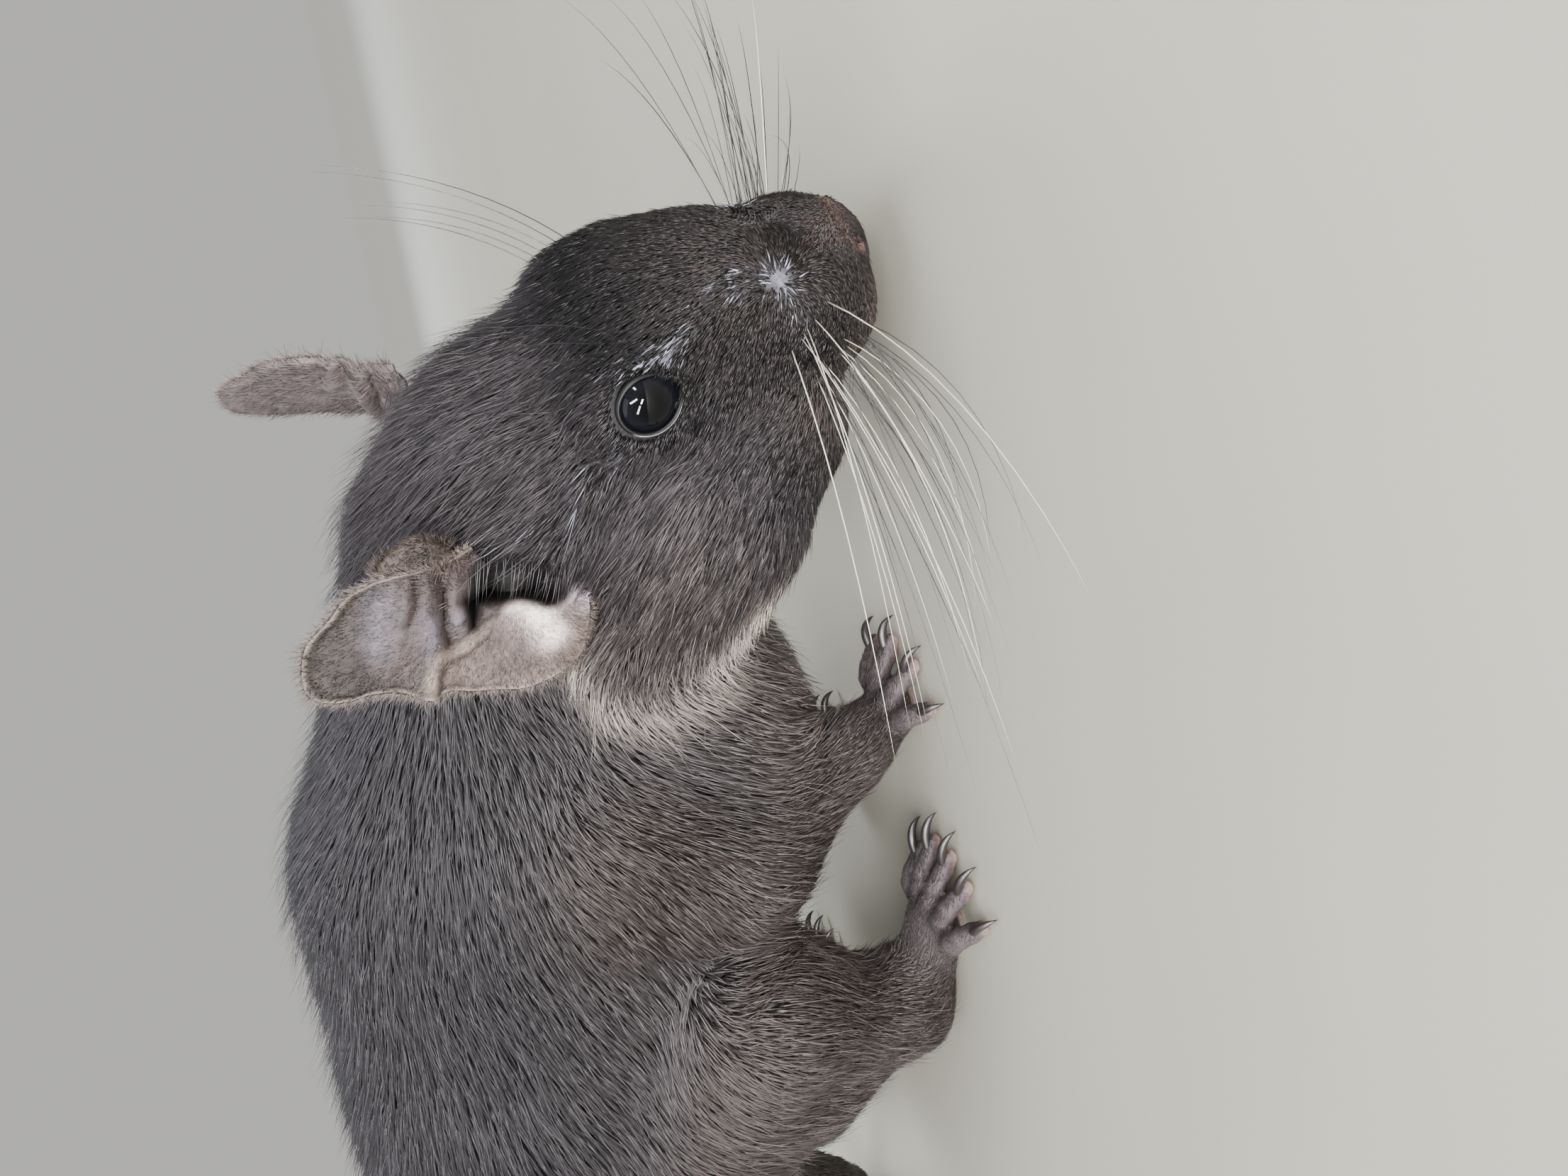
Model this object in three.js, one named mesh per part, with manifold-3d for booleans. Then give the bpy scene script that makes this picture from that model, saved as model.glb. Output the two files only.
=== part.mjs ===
// A degu at life size, standing with its head turned to the right and lowered to sniff at the ground.
// Millimetres, +Z up, +X the way the body faces and +Y its left. While it is built, the origin lies on the
// floor below the chest. At the end it moves to the floor below the middle of the whole animal.
// The body is one smooth field of rounded forms, meshed part by part and parted by thin cuts.
import * as THREE from 'three';
import { mergeVertices } from 'three/addons/utils/BufferGeometryUtils.js';
import { edgeTable, triTable } from 'three/addons/objects/MarchingCubes.js';
import Module from 'manifold-3d';

const wasm = await Module();
wasm.setup();

const { lerp, clamp, degToRad, smoothstep } = THREE.MathUtils;
const vec = (x, y, z) => new THREE.Vector3(x, y, z);

// Driving dimensions
const GAP = 0.3; // left between neighbours, face to face
const BACK_HEIGHT = 69;
const BELLY_CLEARANCE = 13;
const HIP_WIDTH = 54;
const CHEST_WIDTH = 46;
const HEAD_YAW = 23.5; // degrees, to the right
const HEAD_PITCH = 47.4; // degrees, nose down
const HEAD_ROLL = -3;
const EYE_LINE = vec(50.4, -4.1, 27.7); // the point midway between the eyes
const EYE_RADIUS = 3.9;
const EYE_OPENING = 3.1; // half the width between the lids
const EAR_THICKNESS = 0.9;
const TAIL_THICKNESS = 7.4;
const TAIL_BRUSH = 42; // length of the dark brush at the tail's end
const WHISKER_THICKNESS = 0.5;

// Cell sizes of the meshes, finer where the shape is finer
const TRUNK_CELL = 7.5;
const NECK_CELL = 5.6;
const HEAD_CELL = 3.6;
const NOSE_CELL = 1.7;
const THIGH_CELL = 5.6;
const SHANK_CELL = 3.8;
const ARM_CELL = 3.6;
const FOREARM_CELL = 3.4;
const FOOT_CELL = 3;
const TAIL_SIDES = 8;
const TAIL_STEPS = 15;

const RIGHT = -1;
const LEFT = 1;
const SIDES = [[RIGHT, 'right'], [LEFT, 'left']];

// The colours of the coat and the bare skin
const FUR = 0x3a3638;
const DARK_FUR = 0x2c2828;
const SKIN = 0x8b7470;
const EAR_SKIN = 0x7b6a66;
const EYE_BLACK = 0x08080a;

// A generator of repeatable random numbers between -1 and 1
function randomFrom(seed) {
  let state = seed;
  return () => {
    state = (state * 16807) % 2147483647;
    return 2 * (state / 2147483647) - 1;
  };
}

// The head has a frame of its own: x towards the nose, y to its left, z to its crown, from the eye line
const headFrame = new THREE.Matrix4().makeRotationFromEuler(
  new THREE.Euler(degToRad(-HEAD_ROLL), degToRad(HEAD_PITCH), degToRad(-HEAD_YAW), 'ZYX'),
).setPosition(EYE_LINE);
const inHead = (x, y, z) => vec(x, y, z).applyMatrix4(headFrame);
const headWay = (x, y, z) => vec(x, y, z).transformDirection(headFrame);

// Fields: each gives the distance from a point to a form, negative inside it

// A cone with round ends
function cone(a, b, radiusA, radiusB) {
  const axis = b.clone().sub(a);
  const length = axis.lengthSq();
  const foot = vec(0, 0, 0);
  return (point) => {
    const along = clamp(foot.copy(point).sub(a).dot(axis) / length, 0, 1);
    return foot.copy(a).addScaledVector(axis, along).distanceTo(point) - lerp(radiusA, radiusB, along);
  };
}

// An egg with three half lengths along the axes of a frame
function egg(centre, half, frame = new THREE.Matrix4()) {
  const back = frame.clone().invert();
  const scaled = vec(0, 0, 0);
  return (point) => {
    scaled.copy(point).applyMatrix4(back).sub(centre).divide(half);
    const near = scaled.length();
    const steep = scaled.divide(half).length();
    return steep < 1e-6 ? -Math.min(half.x, half.y, half.z) : (near * (near - 1)) / steep;
  };
}
const headCone = (a, b, radiusA, radiusB) => cone(inHead(...a), inHead(...b), radiusA, radiusB);
const headEgg = (centre, half) => egg(vec(...centre), vec(...half), headFrame);

// Several forms flowing into each other over the given distance
function blend(reach, forms) {
  return (point) => forms.slice(1).reduce((near, form) => {
    const far = form(point);
    const overlap = Math.max(reach - Math.abs(near - far), 0) / reach;
    return Math.min(near, far) - (overlap * overlap * reach) / 4;
  }, forms[0](point));
}
const grown = (form, by) => (point) => form(point) - by;

// Solids

function solidOf(geometry) {
  const bare = geometry.index ? geometry.toNonIndexed() : geometry.clone();
  bare.deleteAttribute('normal');
  bare.deleteAttribute('uv');
  const merged = mergeVertices(bare, 1e-4);
  return new wasm.Manifold(new wasm.Mesh({
    numProp: 3,
    vertProperties: merged.attributes.position.array,
    triVerts: new Uint32Array(merged.index.array),
  }));
}

function geometryOf(solid) {
  const mesh = solid.getMesh();
  const geometry = new THREE.BufferGeometry();
  const positions = new Float32Array(mesh.numVert * 3);
  for (let i = 0; i < mesh.numVert; i++) {
    positions.set(mesh.vertProperties.subarray(i * mesh.numProp, i * mesh.numProp + 3), i * 3);
  }
  geometry.setAttribute('position', new THREE.BufferAttribute(positions, 3));
  geometry.setIndex(new THREE.BufferAttribute(mesh.triVerts, 1));
  return geometry;
}

function geometryFrom(positions, index) {
  const geometry = new THREE.BufferGeometry();
  geometry.setAttribute('position', new THREE.Float32BufferAttribute(positions, 3));
  geometry.setIndex(index);
  return geometry;
}

const largest = (solid) => solid.decompose().reduce((a, b) => (a.volume() > b.volume() ? a : b));
const joined = (solids) => solids.reduce((a, b) => a.add(b));
const without = (solid, others) => others.reduce((left, other) => left.subtract(other), solid);

// The surface of a field inside a box, by marching cubes on a grid whose lines lie at whole cells
const SQUARE = [[0, 0], [1, 0], [1, 1], [0, 1]];
const CORNERS = [0, 1].flatMap((z) => SQUARE.map(([x, y]) => [x, y, z]));
const EDGES = [
  ...[0, 1, 2, 3].map((c) => [c, (c + 1) % 4]),
  ...[0, 1, 2, 3].map((c) => [c + 4, ((c + 1) % 4) + 4]),
  ...[0, 1, 2, 3].map((c) => [c, c + 4]),
];
const CROSSING = [0.12, 0.88]; // keeps the surface's corners off the grid's own, so no triangle is a sliver

function surface(field, low, high, cell) {
  const first = low.map((x) => Math.floor(x / cell) - 1);
  const count = high.map((x, axis) => Math.ceil(x / cell) + 2 - first[axis]);
  const at = (i, j, k) => (k * count[1] + j) * count[0] + i;
  const place = (i, j, k) => vec(first[0] + i, first[1] + j, first[2] + k).multiplyScalar(cell);
  const onRim = (i, axis) => i === 0 || i === count[axis] - 1;
  const values = new Float32Array(count[0] * count[1] * count[2]);
  for (let k = 0; k < count[2]; k++) {
    for (let j = 0; j < count[1]; j++) {
      for (let i = 0; i < count[0]; i++) {
        const rim = onRim(i, 0) || onRim(j, 1) || onRim(k, 2);
        values[at(i, j, k)] = rim ? cell : field(place(i, j, k));
      }
    }
  }
  const positions = [];
  const index = [];
  const known = new Map();
  const cornerOn = (cube, edge) => {
    const ends = EDGES[edge].map((c) => CORNERS[c].map((step, axis) => cube[axis] + step));
    const [a, b] = ends.map((end) => at(...end));
    const key = Math.min(a, b) * values.length + Math.max(a, b);
    if (!known.has(key)) {
      const crossing = clamp(values[a] / (values[a] - values[b]), ...CROSSING);
      known.set(key, positions.length / 3);
      positions.push(...place(...ends[0]).lerp(place(...ends[1]), crossing));
    }
    return known.get(key);
  };
  for (let k = 0; k < count[2] - 1; k++) {
    for (let j = 0; j < count[1] - 1; j++) {
      for (let i = 0; i < count[0] - 1; i++) {
        let code = 0;
        CORNERS.forEach(([x, y, z], c) => {
          if (values[at(i + x, j + y, k + z)] < 0) code += 1 << c;
        });
        if (edgeTable[code] === 0) continue;
        for (let t = code * 16; triTable[t] !== -1; t += 3) {
          index.push(...[0, 2, 1].map((turn) => cornerOn([i, j, k], triTable[t + turn])));
        }
      }
    }
  }
  return solidOf(geometryFrom(positions, index));
}

// A low round solid with three half lengths along the head's axes, for the cuts in the head
function roundRoom(centre, half, grow = 0) {
  const geometry = new THREE.SphereGeometry(1, 12, 8);
  geometry.scale(...half.map((length) => length + grow));
  geometry.translate(...centre);
  geometry.applyMatrix4(headFrame);
  return solidOf(geometry);
}

// The surface of a form about a point of its own
function lump(form, centre, reach, cell) {
  const low = centre.clone().subScalar(reach);
  const high = centre.clone().addScalar(reach);
  return surface(form, low.toArray(), high.toArray(), cell);
}

// A large block whose one face passes through a point and that fills the side the direction points to
const BLOCK = 420;
function beyond(point, direction, shift = 0) {
  const way = direction.clone().normalize();
  const geometry = new THREE.BoxGeometry(BLOCK, BLOCK, BLOCK);
  geometry.translate(0, 0, BLOCK / 2 + shift);
  geometry.applyQuaternion(new THREE.Quaternion().setFromUnitVectors(vec(0, 0, 1), way));
  geometry.translate(point.x, point.y, point.z);
  return solidOf(geometry);
}
const ABOVE_FLOOR = beyond(vec(0, 0, 0), vec(0, 0, 1));
const frontOf = (cut) => beyond(cut.point, cut.way, GAP / 2);
const behind = (cut) => beyond(cut.point, cut.way.clone().negate(), GAP / 2);

// A cone with round ends as a solid, for the cuts that part a limb from the trunk
const SLEEVE_SIDES = 12;
const SLEEVE_RINGS = 2;
function sleeve([a, b, radiusA, radiusB], grow = 0) {
  const length = a.distanceTo(b);
  const profile = [];
  for (const [radius, height, turn] of [[radiusA + grow, 0, -1], [radiusB + grow, length, 0]]) {
    for (let step = 0; step <= SLEEVE_RINGS; step++) {
      const angle = (Math.PI / 2) * (turn + step / SLEEVE_RINGS);
      const onAxis = (turn < 0 && step === 0) || (turn === 0 && step === SLEEVE_RINGS);
      const width = onAxis ? 0 : radius * Math.cos(angle);
      profile.push(new THREE.Vector2(width, height + radius * Math.sin(angle)));
    }
  }
  const geometry = new THREE.LatheGeometry(profile, SLEEVE_SIDES);
  const way = b.clone().sub(a).normalize();
  geometry.applyQuaternion(new THREE.Quaternion().setFromUnitVectors(vec(0, 1, 0), way));
  geometry.translate(a.x, a.y, a.z);
  return solidOf(geometry);
}

// A bar swept along a curve, closed at both ends: its radius changes along it, and it may be flat,
// with its width across the given upright direction
function bar(curve, steps, sides, radiusAt, flat = 1, upright = null) {
  const frames = curve.computeFrenetFrames(steps, false);
  const positions = [];
  const index = [];
  for (let i = 0; i <= steps; i++) {
    const centre = curve.getPointAt(i / steps);
    const radius = radiusAt(i / steps);
    const across = upright ? upright.clone().cross(frames.tangents[i]).normalize() : frames.normals[i];
    const over = frames.tangents[i].clone().cross(across);
    for (let j = 0; j < sides; j++) {
      const angle = (2 * Math.PI * (j + 0.5)) / sides;
      const spot = centre.clone().addScaledVector(across, radius * Math.cos(angle));
      positions.push(...spot.addScaledVector(over, radius * flat * Math.sin(angle)));
    }
  }
  const ring = (i, j) => i * sides + (j % sides);
  for (let i = 0; i < steps; i++) {
    for (let j = 0; j < sides; j++) {
      index.push(ring(i, j), ring(i, j + 1), ring(i + 1, j + 1));
      index.push(ring(i, j), ring(i + 1, j + 1), ring(i + 1, j));
    }
  }
  for (const [end, out] of [[0, -0.5], [1, 0.5]]) {
    const last = end * steps;
    const pole = positions.length / 3;
    positions.push(...curve.getPointAt(end).addScaledVector(frames.tangents[last], out * radiusAt(end)));
    for (let j = 0; j < sides; j++) {
      const rim = [ring(last, j), ring(last, j + 1)];
      index.push(...(end ? rim : rim.reverse()), pole);
    }
  }
  return solidOf(geometryFrom(positions, index));
}
const curveThrough = (points) => new THREE.CatmullRomCurve3(points);

// Joints of the limbs in a walking stance, with y given outwards from the middle. The calf is the middle of
// the full fur behind the shank
const LIMBS = {
  [RIGHT]: {
    shoulder: [3, 13, 36], elbow: [-3, 15, 22], wrist: [5, 11, 7.5], palm: [8, 9.5, 2.4],
    hip: [-46, 14, 37], knee: [-18, 21.5, 23], calf: [-31, 20.5, 19], ankle: [-24, 20.5, 8],
    heel: [-26.5, 20.5, 5], ball: [-13.5, 20.5, 2.4],
  },
  [LEFT]: {
    shoulder: [-5, 13, 36], elbow: [-20, 15, 22], wrist: [-17, 10, 7.5], palm: [-13.5, 9.5, 2.4],
    hip: [-50, 14, 37], knee: [-47, 20, 23], calf: [-59, 19, 18.5], ankle: [-72, 17.5, 8],
    heel: [-76, 17, 5], ball: [-63, 17, 2.4],
  },
};
const joint = (side, name) => {
  const [x, y, z] = LIMBS[side][name];
  return vec(x, side * y, z);
};

// The body as one field

const MIDDLE = (BACK_HEIGHT + BELLY_CLEARANCE) / 2;
const HALF_DEPTH = (BACK_HEIGHT - BELLY_CLEARANCE) / 2;
const trunk = blend(7, [
  egg(vec(-29, 0, MIDDLE), vec(31, HIP_WIDTH / 2 - 0.5, HALF_DEPTH)),
  egg(vec(-47, 0, MIDDLE), vec(27, HIP_WIDTH / 2, HALF_DEPTH)),
  egg(vec(-9, 0, MIDDLE - 0.5), vec(24, CHEST_WIDTH / 2, HALF_DEPTH - 1)),
  egg(vec(6, -1.5, 25), vec(17, 15, 16)),
  cone(vec(2, 0, 44.5), inHead(-26, 0, -7.5), 21, 13),
  cone(vec(6, -1, 30), inHead(-14, 0, -16), 15, 11),
]);
const head = blend(3, [
  headEgg([-13, 0, -3], [18, 13, 12]),
  headEgg([2, 0, -4], [16, 11, 11.5]),
  headCone([5, 0, -5], [17.8, 0, -8.3], 10, 6),
  headCone([-10, 0, -15], [12, 0, -14], 8.5, 4.5),
  ...SIDES.flatMap(([side]) => [
    headEgg([-8, side * 10.3, -15.5], [14, 9, 12.6]),
    headEgg([4, side * 8, -13.6], [10, 7.2, 8.4]),
    headEgg([-16, side * 11, -16.5], [10, 8, 10]),
    headEgg([15.8, side * 4.4, -9.6], [6.4, 4.8, 6]),
    headEgg([2.2, side * 6.8, 1], [6.5, 4.4, 4.6]),
    headCone([-14.5, side * 8, -3], [-17.5, side * 10.5, -2], 6.5, 5),
  ]),
]);
const limbs = blend(4, SIDES.flatMap(([side]) => {
  const at = (name) => joint(side, name);
  return [
    cone(at('shoulder'), at('elbow'), 10, 7),
    cone(at('elbow'), at('wrist'), 6.6, 4),
    cone(at('wrist'), at('palm'), 3.7, 3.3),
    cone(at('hip'), at('knee'), 15, 9.5),
    cone(at('knee'), at('ankle'), 8.6, 4.6),
    cone(at('calf'), at('ankle'), 7.5, 4.8),
    cone(at('ankle'), at('heel'), 4.4, 3.2),
    cone(at('heel'), at('ball'), 3.2, 3.4),
  ];
}));
const body = blend(5, [trunk, head, limbs]);

// Where the body is parted

const NECK_CUT = { point: vec(13, 0, 45), way: vec(1, 0, 0.1) };
const HEAD_CUT = { point: inHead(-27, 0, 0), way: headWay(0.98, 0, -0.2) };
const CHEST_CUT = { point: vec(-18, 0, 40), way: vec(1, 0, 0) };
const RUMP_CUT = { point: vec(-45, 0, 40), way: vec(1, 0, 0) };
const limbCuts = (side) => ({
  wrist: { point: joint(side, 'wrist'), way: joint(side, 'palm').sub(joint(side, 'elbow')) },
  ankle: { point: joint(side, 'ankle'), way: vec(0.25, 0, -1) },
});
const HIP_OUT = 5; // keeps the two thighs' hollows apart
const sleeves = (side) => ({
  arm: [joint(side, 'shoulder'), joint(side, 'elbow'), 11.5, 9],
  forearm: [joint(side, 'elbow'), joint(side, 'wrist'), 9.5, 7.5],
  thigh: [joint(side, 'hip').add(vec(0, side * HIP_OUT, 0)), joint(side, 'knee'), 16.5, 11.5],
  shank: [joint(side, 'knee').lerp(joint(side, 'calf'), 0.4), joint(side, 'ankle'), 14, 9],
});
const limbRoom = joined(SIDES.flatMap(([side]) => (
  Object.values(sleeves(side)).map((room) => sleeve(room, GAP))
)));

const parts = new THREE.Group();
function add(name, solid, color, roughness = 0.9) {
  const material = new THREE.MeshStandardMaterial({ color, roughness, metalness: 0 });
  const mesh = new THREE.Mesh(geometryOf(largest(solid)), material);
  mesh.name = name;
  parts.add(mesh);
}

// Trunk

function addTrunk() {
  const whole = surface(body, [-80, -34, 6], [24, 34, 82], TRUNK_CELL).subtract(limbRoom);
  const front = surface(body, [6, -34, 6], [60, 34, 80], NECK_CELL).subtract(limbRoom);
  add('chest', whole.intersect(frontOf(CHEST_CUT)).intersect(behind(NECK_CUT)), FUR);
  add('belly', whole.intersect(behind(CHEST_CUT)).intersect(frontOf(RUMP_CUT)), FUR);
  add('rump', whole.intersect(behind(RUMP_CUT)), FUR);
  add('neck', front.intersect(frontOf(NECK_CUT)).intersect(behind(HEAD_CUT)), FUR);
}

// Head

const HEAD_BOX = [[8, -38, 0], [86, 38, 68]];
const NOSE = blend(1, [
  headEgg([21.6, 0, -8.4], [2.9, 3, 3]),
  headEgg([22, 2.1, -7.9], [2.2, 1.9, 2.2]),
  headEgg([22, -2.1, -7.9], [2.2, 1.9, 2.2]),
  headEgg([22.2, 0, -11], [1.6, 1.2, 2.4]),
]);
const NOSE_REACH = 7;
const NOSE_AT = inHead(22, 0, -9);
const NOSTRILS = SIDES.map(([side]) => (
  [inHead(22.4, side * 1.7, -8.1), inHead(25.4, side * 3.3, -7.6), 0.5, 0.8]
));
const JAW = [inHead(-1, 0, -19.5), inHead(14.5, 0, -17.6), 6.5, 4];
const padRoom = (side, grow) => roundRoom([15.2, side * 8.4, -8.6], [6, 5.6, 5.8], grow);
const eyeCentre = (side) => inHead(2.2, side * 7.6, 0.7);
const gaze = (side) => headWay(0.3, side * 0.9, 0.3);

// The lids, as a ring about the opening of the eye
function lids(side) {
  const ring = new THREE.TorusGeometry(EYE_OPENING + 0.6, 0.75, 5, 16);
  ring.scale(1.06, 0.96, 1);
  ring.applyQuaternion(new THREE.Quaternion().setFromUnitVectors(vec(0, 0, 1), gaze(side)));
  const centre = eyeCentre(side).addScaledVector(gaze(side), 2.7);
  ring.translate(centre.x, centre.y, centre.z);
  return solidOf(ring);
}

function socket(side) {
  const ball = new THREE.IcosahedronGeometry(EYE_RADIUS + GAP, 2);
  ball.translate(...eyeCentre(side));
  const way = curveThrough([eyeCentre(side), eyeCentre(side).addScaledVector(gaze(side), 9)]);
  return solidOf(ball).add(bar(way, 1, 12, (along) => EYE_OPENING + along));
}

function addEye(side, word) {
  const ball = new THREE.IcosahedronGeometry(EYE_RADIUS, 2);
  ball.translate(...eyeCentre(side));
  add(`eye_${word}`, solidOf(ball), EYE_BLACK, 0.08);
}

// The spot where a line out of the middle of the muzzle comes to the given depth under its surface
const MUZZLE_REACH = 14;
const HALVINGS = 14;
function onMuzzle(x, side, z, depth) {
  let inner = 0;
  let outer = MUZZLE_REACH;
  for (let i = 0; i < HALVINGS; i++) {
    const y = (inner + outer) / 2;
    if (body(inHead(x, side * y, z)) < -depth) inner = y;
    else outer = y;
  }
  return inHead(x, side * inner, z);
}

// The whiskers stand in rows on each pad and fan outwards, drooping towards their tips. Each side's fan is
// given by how far forward it points, from its front to its back, how far up, from its top to its bottom, and
// how much its back droops. The left whiskers are held further forward
const WHISKER_ROWS = 4;
const WHISKERS_IN_ROW = 3;
const WHISKER_FANS = {
  [RIGHT]: { forward: [0.12, -0.24], upward: [-0.12, -0.5], droop: 0.2, longest: 50 },
  [LEFT]: { forward: [0.5, 0.12], upward: [0.35, -0.25], droop: 0, longest: 42 },
};
function whiskers(side) {
  const random = randomFrom(11);
  const { forward, upward, droop, longest } = WHISKER_FANS[side];
  const fan = [];
  for (let row = 0; row < WHISKER_ROWS; row++) {
    for (let place = 0; place < WHISKERS_IN_ROW; place++) {
      const down = row / (WHISKER_ROWS - 1);
      const back = place / (WHISKERS_IN_ROW - 1);
      const root = onMuzzle(18.6 - 4.4 * back, side, -6.3 - 4.2 * down, 0.9);
      const length = longest * lerp(lerp(0.72, 1, back), lerp(0.45, 0.85, back), down) + 2 * random();
      const rise = lerp(...upward, down) - droop * back + 0.04 * random();
      const run = lerp(...forward, back) + 0.04 * random();
      const way = headWay(run, side * 0.92, rise);
      const sag = headWay(-0.2, 0, -0.25).multiplyScalar(length * 0.12);
      const middle = root.clone().addScaledVector(way, length * 0.5).addScaledVector(sag, -0.35);
      const tip = root.clone().addScaledVector(way, length).add(sag);
      for (const spot of [middle, tip]) {
        spot.z = Math.max(spot.z, 1.6);
      }
      const taper = (along) => (WHISKER_THICKNESS / 2) * lerp(1, 0.4, along);
      fan.push(bar(curveThrough([root, middle, tip]), 3, 4, taper));
    }
  }
  return joined(fan);
}

function addHead() {
  const whole = surface(body, ...HEAD_BOX, HEAD_CELL)
    .intersect(frontOf(NECK_CUT)).intersect(frontOf(HEAD_CUT)).intersect(ABOVE_FLOOR);
  const noseRoom = lump(grown(NOSE, 2 * GAP), NOSE_AT, NOSE_REACH, NOSE_CELL);
  const skull = whole.subtract(limbRoom);
  add('lower_jaw', skull.intersect(sleeve(JAW)), DARK_FUR);
  const nostrils = NOSTRILS.map((room) => sleeve(room));
  add('nose', without(lump(NOSE, NOSE_AT, NOSE_REACH, NOSE_CELL), nostrils), SKIN, 0.6);
  for (const [side, word] of SIDES) {
    const pad = skull.intersect(padRoom(side, 0)).subtract(noseRoom).subtract(sleeve(JAW, GAP));
    add(`whisker_pad_${word}`, largest(pad).add(whiskers(side)).intersect(ABOVE_FLOOR), DARK_FUR);
    addEye(side, word);
  }
  const hollows = SIDES.flatMap(([side]) => [padRoom(side, GAP), socket(side), concha(side)]);
  const lidded = joined([skull, ...SIDES.map(([side]) => lids(side))]);
  add('head', without(lidded, [sleeve(JAW, GAP), noseRoom, ...hollows]), DARK_FUR);
}

// Ears: a thin cupped sheet that opens from the canal out to a free edge. Its plane has one axis along
// the ear's length, one across it and one out of the cup, all given in the head's frame

const EAR_AXES = {
  [RIGHT]: { along: [-0.56, 0.14, 0.82], across: [-0.71, 0.43, -0.56], out: [0.43, 0.89, 0.14] },
  // The left ear is pricked higher
  [LEFT]: { along: [-0.84, 0.41, 0.79], across: [-0.59, 0.33, -0.8], out: [0.46, 0.89, 0.03] },
};
const CANAL = [-17.7, 13.6, -0.4];
const EAR_EDGE = [ // the free edge about the canal, from the front root over the tip and back to the lobe
  [1.5, -5.8], [5.2, -6.8], [8.6, -6.2], [14.2, -2.4], [17.4, 0.4], [18.5, 3.4], [17.3, 6.5],
  [13.1, 7.2], [9.8, 7.8], [6.4, 9.3], [0.9, 10], [-3.6, 9.2], [-6.2, 5], [-5.4, 0],
];
const EAR_STEPS = 18;
const EAR_RINGS = 5;

function earPoint(side, along, across, out) {
  const spot = vec(CANAL[0], side * CANAL[1], CANAL[2]);
  const axes = EAR_AXES[side];
  for (const [axis, amount] of [[axes.along, along], [axes.across, across], [axes.out, out]]) {
    spot.add(vec(axis[0], side * axis[1], axis[2]).multiplyScalar(amount));
  }
  return spot.applyMatrix4(headFrame);
}

// How far the sheet stands out of its plane: a deep cup at the canal, a rim that curls over, low cross folds
function earHeight(along, across, out) {
  const cup = -4.2 * (1 - smoothstep(out, 0.05, 0.75));
  const curl = 1.3 * smoothstep(out, 0.7, 1) * smoothstep(across, 2, 8);
  const bend = -0.012 * Math.max(along - 6, 0) ** 2;
  const lobe = 3.4 * (1 - smoothstep(along, -6, 3));
  const folded = smoothstep(along, 6, 8) * (1 - smoothstep(along, 13, 15));
  const inside = smoothstep(out, 0.2, 0.5) * (1 - smoothstep(out, 0.8, 1));
  const folds = 0.45 * Math.sin((along - 7) * 1.9) * folded * inside;
  return cup + curl + bend + lobe + folds;
}

function earSheet(side) {
  const edge = new THREE.SplineCurve(EAR_EDGE.map(([a, b]) => new THREE.Vector2(a, b)));
  const positions = [];
  const index = [];
  for (const depth of [EAR_THICKNESS / 2, -EAR_THICKNESS / 2]) {
    for (let i = 0; i <= EAR_STEPS; i++) {
      const rim = edge.getPointAt(i / EAR_STEPS);
      for (let j = 0; j <= EAR_RINGS; j++) {
        const out = lerp(0.16, 1, j / EAR_RINGS);
        const thin = j === EAR_RINGS ? 0.7 : 1;
        const height = earHeight(rim.x * out, rim.y * out, out) + depth * thin;
        positions.push(...earPoint(side, rim.x * out, rim.y * out, height));
      }
    }
  }
  const at = (face, i, j) => (face * (EAR_STEPS + 1) + i) * (EAR_RINGS + 1) + j;
  const quad = (a, b, c, d) => {
    index.push(...(side === RIGHT ? [a, b, c, a, c, d] : [c, b, a, d, c, a]));
  };
  for (let i = 0; i < EAR_STEPS; i++) {
    for (let j = 0; j < EAR_RINGS; j++) {
      quad(at(0, i, j), at(0, i, j + 1), at(0, i + 1, j + 1), at(0, i + 1, j));
      quad(at(1, i + 1, j), at(1, i + 1, j + 1), at(1, i, j + 1), at(1, i, j));
    }
    quad(at(0, i, 0), at(0, i + 1, 0), at(1, i + 1, 0), at(1, i, 0));
    quad(at(1, i, EAR_RINGS), at(1, i + 1, EAR_RINGS), at(0, i + 1, EAR_RINGS), at(0, i, EAR_RINGS));
  }
  for (let j = 0; j < EAR_RINGS; j++) {
    quad(at(1, 0, j), at(1, 0, j + 1), at(0, 0, j + 1), at(0, 0, j));
    const end = EAR_STEPS;
    quad(at(0, end, j), at(0, end, j + 1), at(1, end, j + 1), at(1, end, j));
  }
  return solidOf(geometryFrom(positions, index));
}

// The hollow of the ear, open outwards
function concha(side) {
  const inner = earPoint(side, 0.5, 0, -3.4);
  const outer = earPoint(side, 1.5, 0.5, 4);
  return sleeve([inner, outer, 1.4, 3.6]);
}

function addEar(side, word, headRoom) {
  const root = sleeve([earPoint(side, 0.5, 1, -5), earPoint(side, 0.5, 1, -1.4), 6.2, 5.4]);
  const whole = earSheet(side).add(root).subtract(concha(side)).subtract(headRoom);
  add(`ear_${word}`, whole, EAR_SKIN, 0.7);
}

// Limbs

// Each digit's direction, in degrees outwards, and its length
const FORE_DIGITS = [[48, 6], [16, 7.4], [-14, 7.4], [-42, 6.6]];
const HIND_DIGITS = [[36, 7], [16, 8.6], [3, 9.4], [-9, 8.8], [-26, 6]];

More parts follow.
